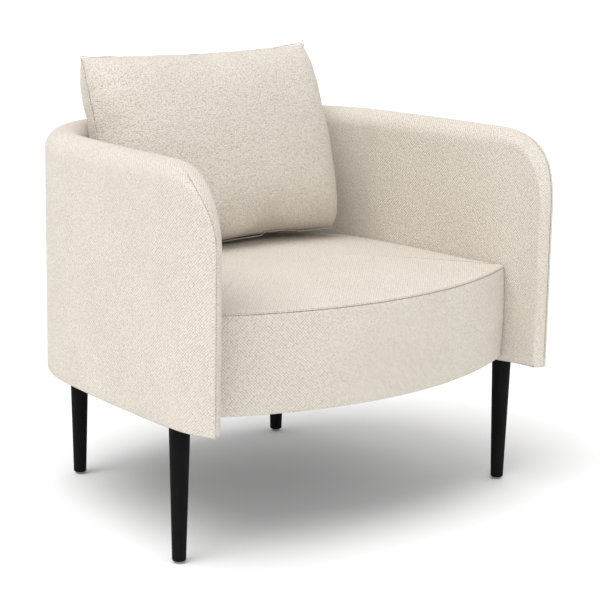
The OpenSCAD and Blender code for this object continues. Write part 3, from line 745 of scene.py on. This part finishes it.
def seat_outline():
    """Half of the outline from the back's middle to the front's middle, with how far it is front."""
    centre = SEAT_FRONT + BOW_RADIUS
    side = []
    for run in steps(0.0, TIP - 5 * MM, SIDE_POINTS):
        x, y, _ = on_wall(-max(run, 1e-9), 0.0, wall_thickness(run) + SEAT_GAP)
        if math.hypot(x, y - centre) > BOW_RADIUS:
            break
        side.append((x, y, 0.0))
    angle = math.asin(-side[-1][0] / BOW_RADIUS)
    front = []
    for a in steps(angle, 0.0, BOW_POINTS):
        front.append((-BOW_RADIUS * math.sin(a), centre - BOW_RADIUS * math.cos(a), 1.0))
    return side, front


def rounded_corner(side, front):
    """Joins the side and the front with a small round, as cloth makes over foam."""
    corner = np.array(front[0][:2])
    kept_side = [p for p in side if math.dist(p[:2], corner) > SEAT_CORNER]
    kept_front = [p for p in front if math.dist(p[:2], corner) > SEAT_CORNER]
    a, b = np.array(kept_side[-1][:2]), np.array(kept_front[0][:2])
    turned = []
    for t in steps(0.0, 1.0, 8)[1:-1]:
        p = (1 - t) ** 2 * a + 2 * t * (1 - t) * corner + t ** 2 * b
        turned.append((p[0], p[1], ease_in(t * 1.6)))
    return kept_side + turned + kept_front


half_seat = rounded_corner(*seat_outline())
seat_line = half_seat + [(-x, y, f) for x, y, f in reversed(half_seat[1:-1])]
print("seat outline has", len(seat_line), "points")

# %% Rings of the seat
SEAT_MIDDLE = np.array([0.0, 0.02])
CROWN_FOOT = SEAT_SEAM + 4.5 * MM
EDGE_SOFT = 17 * MM
SEAT_FOOT_ROUND = 5 * MM
SIDE_TUCK = 9 * MM
CROWN_SHARES = [0.97, 0.93, 0.88, 0.82, 0.75, 0.68, 0.6, 0.52, 0.44, 0.36, 0.28, 0.2, 0.13, 0.07, 0.02]
TOP_RINGS = len(CROWN_SHARES) + 6
BORDER_SWELL = 3.0 * MM


def line_normals(line):
    p = np.array([q[:2] for q in line])
    along = np.roll(p, -1, 0) - np.roll(p, 1, 0)
    normal = np.stack([along[:, 1], -along[:, 0]], 1)
    normal /= np.linalg.norm(normal, axis=1)[:, None]
    outward = np.sign((normal * (p - SEAT_MIDDLE)).sum(1))
    return p, normal * outward[:, None]


def crown_height(share):
    """Height of the seat's crown; the share is 0 at the middle and 1 at the edge."""
    return CROWN_FOOT + (SEAT_TOP - CROWN_FOOT) * (1 - share ** 2)


def close_with_middle(skin, ring, height, shift):
    """Fills a ring with triangles that meet at the seat's middle."""
    middle = np.column_stack([np.tile(SEAT_MIDDLE, (len(ring), 1)), np.full(len(ring), height)])
    skin.grid([ring, middle], [ring[:, :2] + shift, middle[:, :2] + shift], close=True)


def seat_cover():
    skin = Patches()
    p, normal = line_normals(seat_line)
    front = np.array([q[2] for q in seat_line])
    reach = ((p - SEAT_MIDDLE) * normal).sum(1)
    length = np.concatenate([[0], np.cumsum(np.linalg.norm(np.diff(p, axis=0), axis=1))])
    rings, spots = [], []

    def ring(inset, height, across):
        inset, height = np.broadcast_to(inset, front.shape), np.broadcast_to(height, front.shape)
        xy = p - normal * inset[:, None]
        rings.append(np.column_stack([xy, height]))
        spots.append(np.column_stack([length, np.full(len(p), across)]))

    under = SEAT_BOTTOM - 0.6 * MM
    for inset, height in ((16.2, 3.6), (16.0, 0.0), (9.0, 0.0), (5.0, 0.0)):
        ring(inset * MM, under + height * MM, under - inset * MM)
    for a in steps(0.0, math.pi / 2, 4)[1:]:
        z = under + SEAT_FOOT_ROUND * (1 - math.cos(a))
        ring(SEAT_FOOT_ROUND * (1 - math.sin(a)), z, z)
    start = under + SEAT_FOOT_ROUND
    stop = SEAT_SEAM - SEAM_HALF_WIDTH
    for t in steps(0.0, 1.0, 26)[1:]:
        z = start + (stop - start) * t
        ring(-BORDER_SWELL * front * math.sin(math.pi * t) ** 0.8, z, z)
    for share in (0.35, 0.7):
        z = stop + SEAM_HALF_WIDTH * share
        ring(SEAM_DEPTH * 0.5 * share * front, z, z)
    ring(SEAM_DEPTH * 1.25 * front + 0.2 * MM, SEAT_SEAM, SEAT_SEAM)
    for inset, rise in ((0.55, 0.7), (0.25, 1.7)):
        ring(inset * MM, SEAT_SEAM + rise * MM, SEAT_SEAM + rise * MM)
    for inset in (0.3, 0.8, 1.8, 3.4, 5.6, 8.6, 12.4, 17.0):
        inset *= MM
        share = 1 - inset / reach
        crown = crown_height(share)
        soft = math.sqrt(max(0.0, 1 - (1 - min(1.0, inset / EDGE_SOFT)) ** 2))
        low = np.where(front > 0.5, SEAT_SEAM + 2.2 * MM, crown - SIDE_TUCK)
        ring(inset, low + (crown - low) * soft, SEAT_SEAM + inset)
    edge = rings[-1][:, :2]
    for f in CROWN_SHARES:
        xy = SEAT_MIDDLE + (edge - SEAT_MIDDLE) * f
        rings.append(np.column_stack([xy, crown_height((1 - EDGE_SOFT / reach) * f)]))
    flat = np.array([0.0, SEAT_SEAM])
    spots = spots[:len(rings) - TOP_RINGS] + [r[:, :2] + flat for r in rings[-TOP_RINGS:]]
    skin.grid(rings, spots, close=True)
    for level in (rings[-1], rings[0]):
        close_with_middle(skin, level, level[:, 2].mean(), flat)
    return skin, p, normal, front


seat_skin, seat_points, seat_normals, seat_front = seat_cover()
seat = seat_skin.piece("seat_upholstery", cover_cloth)
print("seat cover has", len(seat.data.polygons), "faces")

# %% Stitches of the seat's front seam
def seat_seam():
    rows = [i for i in range(len(seat_points)) if seat_front[i] > 0.9]
    line = [(*(seat_points[i] - seat_normals[i] * SEAM_DEPTH * 0.8), SEAT_SEAM) for i in rows]
    normals = [(*seat_normals[i], 0.15) for i in rows]
    return [(line, normals)]


seat_stitches = stitches("seat_seam_stitches", seat_seam())
print("seat seam has", len(seat_stitches.data.polygons) // STITCH_FACES, "stitches")

# %% [markdown]
# ## The loose back cushion
# A loose cushion is two flat panels sewn together round the edge and stuffed. Its shape comes
# from that: the middle swells, the sides pull in, and the corners stay out as points. So it is
# made the same way here. Two flat sheets share their edge, and cloth simulation blows them up
# with a little pressure and no gravity. This cushion is well filled, so its puckers are then
# smoothed and its seams let out, until it fills the outline of the CAD's cushion.

# %% Two flat panels, sewn at the edge
zip_low, zip_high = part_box("cushion_zip")
CUSHION_WIDTH = 0.505
CUSHION_HEIGHT = 0.361
CUSHION_THICK = 0.180
CUSHION_LEAN = math.radians(17.9)
CUSHION_FOOT = Vector((0.0, 0.107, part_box("cushion_front")[0].z + 0.5 * MM))
PANEL_COLUMNS, PANEL_ROWS = 70, 50
SPARE_CLOTH = 1.10
PANEL_GAP, PANEL_LOFT, PANEL_UNEVEN = 6 * MM, 30 * MM, 1.2 * MM


def flat_panels():
    """Two grids that share their rims, a hair apart inside, so that pressure knows its way."""
    rng = np.random.default_rng(5)
    points, index, faces = [], {}, []
    for side in (-1, 1):
        for i in range(PANEL_ROWS + 1):
            for j in range(PANEL_COLUMNS + 1):
                rim = i in (0, PANEL_ROWS) or j in (0, PANEL_COLUMNS)
                if rim and side == 1:
                    index[side, i, j] = index[-1, i, j]
                    continue
                u, v = 2 * j / PANEL_COLUMNS - 1, 2 * i / PANEL_ROWS - 1
                loft = (1 - u * u) * (1 - v * v)
                x = u * CUSHION_WIDTH / 2 * SPARE_CLOTH
                z = v * CUSHION_HEIGHT / 2 * SPARE_CLOTH
                y = 0.0
                if not rim:
                    y = side * (PANEL_GAP + PANEL_LOFT * loft + PANEL_UNEVEN * rng.standard_normal())
                index[side, i, j] = len(points)
                points.append((x, y, z))
        for i in range(PANEL_ROWS):
            for j in range(PANEL_COLUMNS):
                ring = [index[side, i, j], index[side, i, j + 1],
                        index[side, i + 1, j + 1], index[side, i + 1, j]]
                faces.append(tuple(ring if side == -1 else reversed(ring)))
    mesh = bpy.data.meshes.new("cushion_panels")
    mesh.from_pydata(points, [], faces)
    rim = []
    rim += [index[-1, 0, j] for j in range(PANEL_COLUMNS)]
    rim += [index[-1, i, PANEL_COLUMNS] for i in range(PANEL_ROWS)]
    rim += [index[-1, PANEL_ROWS, j] for j in range(PANEL_COLUMNS, 0, -1)]
    rim += [index[-1, i, 0] for i in range(PANEL_ROWS, 0, -1)]
    return mesh, rim


panel_mesh, rim_points = flat_panels()
print("cushion panels have", len(panel_mesh.vertices), "points")

# %% Blow the panels up
INFLATE_FRAMES = 36
SETTLE_TURNS = 24
RIM_TURNS = 6
CUSHION_CLOTH = {
    "quality": 6, "mass": 0.25, "air_damping": 4.0, "tension_stiffness": 40,
    "compression_stiffness": 40, "shear_stiffness": 12, "bending_stiffness": 0.9,
    "use_pressure": True, "uniform_pressure_force": 9.0}


def inflated(mesh):
    panels = new_object("cushion_panels", mesh)
    cloth = panels.modifiers.new("stuffing", "CLOTH")
    for name, value in CUSHION_CLOTH.items():
        setattr(cloth.settings, name, value)
    cloth.settings.effector_weights.gravity = 0.0
    cloth.collision_settings.use_collision = False
    scene = bpy.context.scene
    for step in range(1, INFLATE_FRAMES + 1):
        scene.frame_set(step)
    graph = bpy.context.evaluated_depsgraph_get()
    done = panels.evaluated_get(graph)
    points = np.array([v.co for v in done.data.vertices], float)
    bpy.data.objects.remove(panels)
    scene.frame_set(1)
    return points


def settled(points):
    """Let the puckers settle: every point drifts towards the middle of its neighbours."""
    rows, columns = PANEL_ROWS + 1, PANEL_COLUMNS + 1
    front = points[:rows * columns].reshape(rows, columns, 3).copy()
    back = front.copy()
    back[1:-1, 1:-1] = points[rows * columns:].reshape(rows - 2, columns - 2, 3)
    for turn in range(SETTLE_TURNS):
        for edge in (np.s_[0, :], np.s_[-1, :], np.s_[:, 0], np.s_[:, -1]) * RIM_TURNS:
            line = front[edge]
            line[1:-1] = 0.5 * line[1:-1] + 0.25 * (line[2:] + line[:-2])
            back[edge] = line
        for panel in (front, back):
            around = panel[2:, 1:-1] + panel[:-2, 1:-1] + panel[1:-1, 2:] + panel[1:-1, :-2]
            panel[1:-1, 1:-1] = 0.5 * panel[1:-1, 1:-1] + 0.125 * around
    return np.vstack([front.reshape(-1, 3), back[1:-1, 1:-1].reshape(-1, 3)])


cushion_points = settled(inflated(panel_mesh))
spread = cushion_points.max(0) - cushion_points.min(0)
print("cushion before fitting, in mm", [round(v * 1000) for v in spread])

# %% Fit the cushion to its place
SHOULDER_LIFT = 7 * MM
SIDE_WAIST = 0.025
TOP_WAIST = 0.045
FULLNESS = 0.56
CORNER_ROUND = 0.010
SIDE_SWELL = 1.016
SIDE_SHIFT = 3.5 * MM


def lean(points):
    """From the cushion's own axes to the chair's: up from its foot, leaning back."""
    c, s = math.cos(CUSHION_LEAN), math.sin(CUSHION_LEAN)
    up = points[:, 2] + CUSHION_HEIGHT / 2
    y = points[:, 1] * c + up * s
    z = -points[:, 1] * s + up * c
    return np.column_stack([points[:, 0], y, z]) + np.array(CUSHION_FOOT)


def let_out(along, across, half_along, half_across, waist):
    """Let the seams out along one direction, to a fuller outline than pressure alone leaves."""
    place = np.linspace(-1, 1, 41)
    reach = np.array([np.abs(along[np.abs(across / half_across - p) < 0.045]).max() for p in place])
    want = half_along * (1 - waist * (1 - place ** 2))
    gain = np.interp(np.clip(across / half_across, -1, 1), place, want / reach)
    return along * gain


def fitted(points):
    size = points.max(0) - points.min(0)
    want = np.array([CUSHION_WIDTH, CUSHION_THICK, CUSHION_HEIGHT])
    own = (points - (points.max(0) + points.min(0)) / 2) * want / size
    half_x, half_z = CUSHION_WIDTH / 2, CUSHION_HEIGHT / 2
    x = let_out(own[:, 0], own[:, 2], half_x, half_z, SIDE_WAIST)
    z = let_out(own[:, 2], own[:, 0], half_z, half_x, TOP_WAIST)
    u, v = np.clip(x / half_x, -1, 1), np.clip(z / half_z, -1, 1)
    thick = np.abs(own[:, 1]) / (CUSHION_THICK / 2)
    y = np.sign(own[:, 1]) * CUSHION_THICK / 2 * np.clip(thick, 0, 1) ** FULLNESS
    rounding = 1 - CORNER_ROUND * np.abs(u * v) ** 6
    x, z = x * rounding, z * rounding
    z += SHOULDER_LIFT * np.clip(u, 0, 1) ** 4 * np.clip(v, 0, 1) ** 3
    x = x * SIDE_SWELL - SIDE_SHIFT
    return np.column_stack([x, y * (1 - 0.08 * np.clip(v, 0, 1) ** 2), z])


cushion_own = fitted(cushion_points)
spread = cushion_own.max(0) - cushion_own.min(0)
print("cushion after fitting, in mm", [round(v * 1000) for v in spread])

# %% [markdown]
# The zip is CAD: a tape bent round the cushion's lower back. The cushion's cloth has to lie
# just under that tape, so near it the points are moved on to the tape's own cylinder, fading
# out to either side. The foot is pressed flat where the cushion stands on the seat.

# %% Seat the zip and press the foot
ZIP_HALF = (zip_high.x - zip_low.x) / 2
BULGE = ((CUSHION_HEIGHT / 2) ** 2 + (CUSHION_THICK / 2) ** 2) / CUSHION_THICK
AXIS_Y = -(BULGE - CUSHION_THICK / 2)
ZIP_RISE = math.radians(9)
ZIP_ANGLE = math.asin(CUSHION_HEIGHT / 2 / BULGE) - ZIP_RISE
ZIP_HOLD_ANGLE, ZIP_FADE_ANGLE = 11, 6.5
ZIP_FADE = 60 * MM
CROWN_HALF_WIDTH, CROWN_HALF_DEPTH = 0.335, 0.30
CUSHION_CLEAR = 1.2 * MM


def seat_the_zip(own):
    y, z = own[:, 1] - AXIS_Y, own[:, 2]
    radius = np.hypot(y, z)
    angle = np.arctan2(-z, y)
    off = np.abs(np.degrees(angle - ZIP_ANGLE))
    beside = np.abs(own[:, 0]) - ZIP_HALF
    hold = np.clip((ZIP_HOLD_ANGLE - off) / ZIP_FADE_ANGLE, 0, 1) * np.clip(1 - beside / ZIP_FADE, 0, 1)
    hold = np.where(own[:, 1] > 0, hold * hold * (3 - 2 * hold), 0)
    target = BULGE - 0.15 * MM
    new = radius + (target - radius) * hold
    own[:, 1] = AXIS_Y + y / radius * new
    own[:, 2] = z / radius * new
    return own


def seat_height(x, y):
    """Height of the seat's crown under a point of the cushion."""
    share = np.hypot(x / CROWN_HALF_WIDTH, (y - SEAT_MIDDLE[1]) / CROWN_HALF_DEPTH)
    return crown_height(np.clip(share, 0, 1))


def make_cushion():
    own = seat_the_zip(cushion_own.copy())
    placed = lean(own)
    lowest = seat_height(placed[:, 0], placed[:, 1]) + CUSHION_CLEAR
    placed[:, 2] = np.maximum(placed[:, 2], lowest)
    for vertex, point in zip(panel_mesh.vertices, placed):
        vertex.co = point
    made = finish_piece("back_cushion", panel_mesh, cushion_cloth, weld=0)
    smooth = made.modifiers.new("smooth cloth", "SUBSURF")
    smooth.levels = smooth.render_levels = 1
    graph = bpy.context.evaluated_depsgraph_get()
    finished = bpy.data.meshes.new_from_object(made.evaluated_get(graph))
    made.modifiers.clear()
    made.data = finished
    return made, placed[rim_points]


cushion, cushion_rim = make_cushion()
print("cushion has", len(cushion.data.polygons), "faces")

# %% [markdown]
# The two panels meet in a plain seam all round. It shows as a thin ridge of turned-in cloth, so
# it is one slim tube that follows the rim, with the thread's pitch as a slight ripple on it.

# %% Seam round the cushion
RIM_RADIUS = 0.9 * MM


def closed_tube(name, line, radius, sides, finish):
    line = np.asarray(line, float)
    along = np.roll(line, -1, 0) - np.roll(line, 1, 0)
    along /= np.linalg.norm(along, axis=1)[:, None]
    across = np.cross(along, np.array([0.0, math.cos(CUSHION_LEAN), -math.sin(CUSHION_LEAN)]))
    across /= np.linalg.norm(across, axis=1)[:, None]
    upward = np.cross(across, along)
    rings = []
    for k in range(len(line) + 1):
        i = k % len(line)
        size = radius * (1 + 0.12 * math.sin(2.1 * k))
        rings.append([line[i] + size * (math.cos(a) * across[i] + math.sin(a) * upward[i])
                      for a in steps(0, 2 * math.pi, sides)[:-1]])
    skin = Patches()
    skin.grid(rings, np.zeros((len(rings), sides, 2)), close=True)
    return skin.piece(name, finish)


cushion_seam = closed_tube("cushion_edge_seam", cushion_rim, RIM_RADIUS, 8, cushion_cloth)
rim_length = np.linalg.norm(np.diff(cushion_rim, axis=0), axis=1).sum()
print("cushion seam is", round(float(rim_length), 3), "m long")

# %% [markdown]
# ## Zip
# The tape stays as CAD. Its teeth and its slider are small, but the zip is the cushion's only
# moving part, so both get their real shape: moulded teeth in two interlocked rows, and a
# slider with two wings and a pull that hangs from it.

# %% Placing things on the cushion's lower back
def on_tape(x, angle_off=0.0, proud=0.0):
    """Point on the tape's outside at x, its angle from the zip's middle, and its normal."""
    angle = ZIP_ANGLE + angle_off
    radius = BULGE + 1.1 * MM + proud
    own = np.array([[x, AXIS_Y + radius * math.cos(angle), -radius * math.sin(angle)]])
    higher = own + np.array([[0, math.cos(angle), -math.sin(angle)]]) * MM
    here, there = lean(own)[0], lean(higher)[0]
    return here, (there - here) / MM


def bars(name, finish, boxes, bevel=0.25):
    """Small blocks with eased edges; each is a middle, three axes and three half sizes."""
    points, faces = [], []
    for middle, axes, half in boxes:
        base = len(points)
        for sx in (-1, 1):
            for sy in (-1, 1):
                for inner, level in ((1.0, -1), (1.0, 1 - bevel), (1 - bevel, 1)):
                    offset = sx * half[0] * inner * axes[0] + sy * half[1] * inner * axes[1]
                    points.append(middle + offset + level * half[2] * axes[2])
        corners = [base + 3 * k for k in (0, 2, 3, 1)]
        for i in range(4):
            a, b = corners[i], corners[(i + 1) % 4]
            faces += [(a, b, b + 1, a + 1), (a + 1, b + 1, b + 2, a + 2)]
        faces.append(tuple(reversed(corners)))
        faces.append(tuple(c + 2 for c in corners))
    mesh = bpy.data.meshes.new(name)
    mesh.from_pydata([tuple(p) for p in points], [], faces)
    made = finish_piece(name, mesh, finish, weld=0)
    for face in made.data.polygons:
        face.use_smooth = False
    return made


# %% Teeth
TOOTH_PITCH = 1.9 * MM
X_AXIS = np.array([1.0, 0.0, 0.0])
SLIDER_START = -ZIP_HALF + 9 * MM


def zip_teeth():
    boxes = []
    for k, x in enumerate(np.arange(-ZIP_HALF + 5 * MM, ZIP_HALF - 4 * MM, TOOTH_PITCH)):
        middle, normal = on_tape(x, proud=0.35 * MM)
        down = np.cross(X_AXIS, normal)
        shift = (0.7 if k % 2 else -0.7) * MM
        boxes.append((middle + down * shift, (X_AXIS, down, normal), (0.72 * MM, 1.5 * MM, 0.55 * MM)))
    return bars("zip_teeth", steel, boxes)


teeth = zip_teeth()
print("zip has", len(teeth.data.polygons) // 10, "teeth")

# %% Slider
def zip_slider():
    middle, normal = on_tape(SLIDER_START, proud=1.9 * MM)
    down = np.cross(X_AXIS, normal)
    axes = (X_AXIS, down, normal)
    boxes = [(middle + normal * 0.7 * MM, axes, (4.2 * MM, 3.6 * MM, 0.6 * MM)),
             (middle + X_AXIS * 2.6 * MM - normal * 0.1 * MM, axes, (1.3 * MM, 1.1 * MM, 0.5 * MM)),
             (middle - X_AXIS * 1.2 * MM + normal * 2.0 * MM, axes, (2.0 * MM, 0.7 * MM, 0.8 * MM))]
    pull_middle = middle + down * 8.5 * MM + normal * 1.8 * MM
    boxes.append((pull_middle, axes, (2.2 * MM, 8.0 * MM, 0.45 * MM)))
    return bars("zip_slider_body", steel, boxes, bevel=0.45)


slider = zip_slider()
print("slider sits at x", round(SLIDER_START, 3))

# %% [markdown]
# ## Underside
# A thin black non-woven cloth closes the seat from below. It is stapled all round and hangs
# a few millimetres in the middle, so it is a single sheet with a shallow sag and faint pleats
# running in from the staples.

# %% Dust cover
dust_low, dust_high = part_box("dust_cover")
DUST_SAG = 4 * MM
DUST_INSET = 5.5 * MM
PLEATS = 47


def dust_sheet():
    p, normal = line_normals(seat_line)
    edge = p - normal * DUST_INSET
    rings, spots = [], []
    count = len(p)
    for f in [1.0, 0.985, 0.96, 0.92, 0.86, 0.78, 0.68, 0.56, 0.42, 0.28, 0.14, 0.03]:
        xy = SEAT_MIDDLE + (edge - SEAT_MIDDLE) * f
        pleat = np.sin(np.arange(count) * 2 * math.pi * PLEATS / count
                       + 0.6 * np.sin(np.arange(count) * 0.31))
        ripple = 0.7 * MM * pleat * math.sin(math.pi * min(1.0, (1 - f) * 4.0)) * (f > 0.7)
        z = dust_low.z - 0.2 * MM - DUST_SAG * (1 - f ** 2) + ripple
        rings.append(np.column_stack([xy, np.broadcast_to(z, (count,))]))
        spots.append(xy)
    skin = Patches()
    skin.grid(rings, spots, close=True)
    close_with_middle(skin, rings[-1], rings[-1][:, 2].mean(), np.zeros(2))
    return skin.piece("dust_cover_cloth", black_lining)


dust = dust_sheet()

# %% [markdown]
# ## What stays from the CAD
# Rails, posts, panels, webbing, bolts, legs and glides keep their CAD shape, because it is
# their real shape. They only need their finish, chosen by the record's own slot names.

# %% Finishes for the CAD's own nodes
FINISHES = {
    "cream_weave": cover_cloth, "cushion_boucle": cushion_cloth, "foam": foam, "wadding": wadding,
    "plywood": plywood, "beech": beech, "webbing": webbing, "black_cloth": black_lining,
    "black_stained_wood": black_wood, "grey_plastic": grey_plastic, "zip_tape": zip_tape,
    "steel": steel}
slot_of = {row["node"]: row["material_slot"] for row in frame["record"]["subparts"]}
for node, thing in frame["nodes"].items():
    thing.data.materials.clear()
    thing.data.materials.append(FINISHES[slot_of[node]])
    if node.endswith(("_leg", "_glide")):
        thing.data.shade_smooth()
print(len(frame["nodes"]), "CAD nodes have a finish")

# %% [markdown]
# ## What each piece stands for
# Every piece rides on the CAD body it belongs to, and says which plain solids it replaces. The
# shell's and the seat's skins stand for their cover and the foam under it.

# %% Say what rides and what it replaces
def settle(piece, body, slot, *nodes):
    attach(piece, body)
    if nodes:
        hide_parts(*nodes)


settle(shell, "chair", "cream_weave", "shell_cover", "left_arm_strip", "right_arm_strip",
       "outer_foam_sheet", "inner_foam_sheet", "rim_foam_roll", "left_nose_foam", "right_nose_foam")
settle(seat, "chair", "cream_weave", "seat_cover_top", "seat_border", "seat_wadding", "seat_foam",
       "seat_front_pad", "seat_felt")
for row in (arm_stitches, seat_stitches):
    settle(row, "chair", "cream_weave")
settle(dust, "chair", "black_cloth", "dust_cover")
settle(cushion, "cushion", "cushion_boucle", "cushion_front", "cushion_back", "cushion_filling")
settle(cushion_seam, "cushion", "cushion_boucle")
settle(teeth, "cushion", "steel")
settle(slider, "zip_slider", "steel", "zip_slider")

# %% [markdown]
# ## Floor and light
# A pale floor and soft light from all round, with one broad light above and to the left that
# brightens the rims and the seat, and draws the soft shadow to the right under the chair. A
# weak one from in front opens up the inside. Both are suns with a wide angle, because a sun
# lights the far floor as brightly as the near floor. The floor reaches past what is seen.

# %% Floor
FLOOR_REACH = 60


def make_floor():
    mesh = bpy.data.meshes.new("floor")
    corners = [(x * FLOOR_REACH, y * FLOOR_REACH, 0) for x, y in ((-1, -1), (1, -1), (1, 1), (-1, 1))]
    mesh.from_pydata(corners, [], [(0, 1, 2, 3)])
    material, tree, shader, place = blank("floor_paint", 0.9)
    shader.inputs["Specular IOR Level"].default_value = 0.0
    drift = use(tree, tone_drift, Vector=place["Object"], Size=1.5, Contrast=0.3)
    colour(tree, shader, mixed(tree, drift["Mask"], (0.93, 0.93, 0.93, 1), (0.90, 0.90, 0.90, 1)))
    mesh.materials.append(material)
    floor = new_object("floor", mesh)


make_floor()
print("floor is ready")

# %% Lights
def soft_sun(name, place, strength, spread):
    light = new_object(name, bpy.data.lights.new(name, "SUN"))
    light.data.energy = strength
    light.data.angle = math.radians(spread)
    light.location = place
    light.rotation_euler = Vector(place).to_track_quat("Z", "Y").to_euler()


ROOM_LIGHT = 0.79
world = bpy.data.worlds.new("studio")
world.use_nodes = True
room = world.node_tree.nodes["Background"].inputs
room["Color"].default_value = (1, 1, 1, 1)
room["Strength"].default_value = ROOM_LIGHT
bpy.context.scene.world = world
soft_sun("high_softbox", (-1.3, -0.3, 2.5), strength=1.95, spread=45)
soft_sun("front_softbox", (-0.4, -1.8, 1.0), strength=0.25, spread=25)
bpy.context.scene.view_settings.view_transform = "Standard"
print("lights are ready")
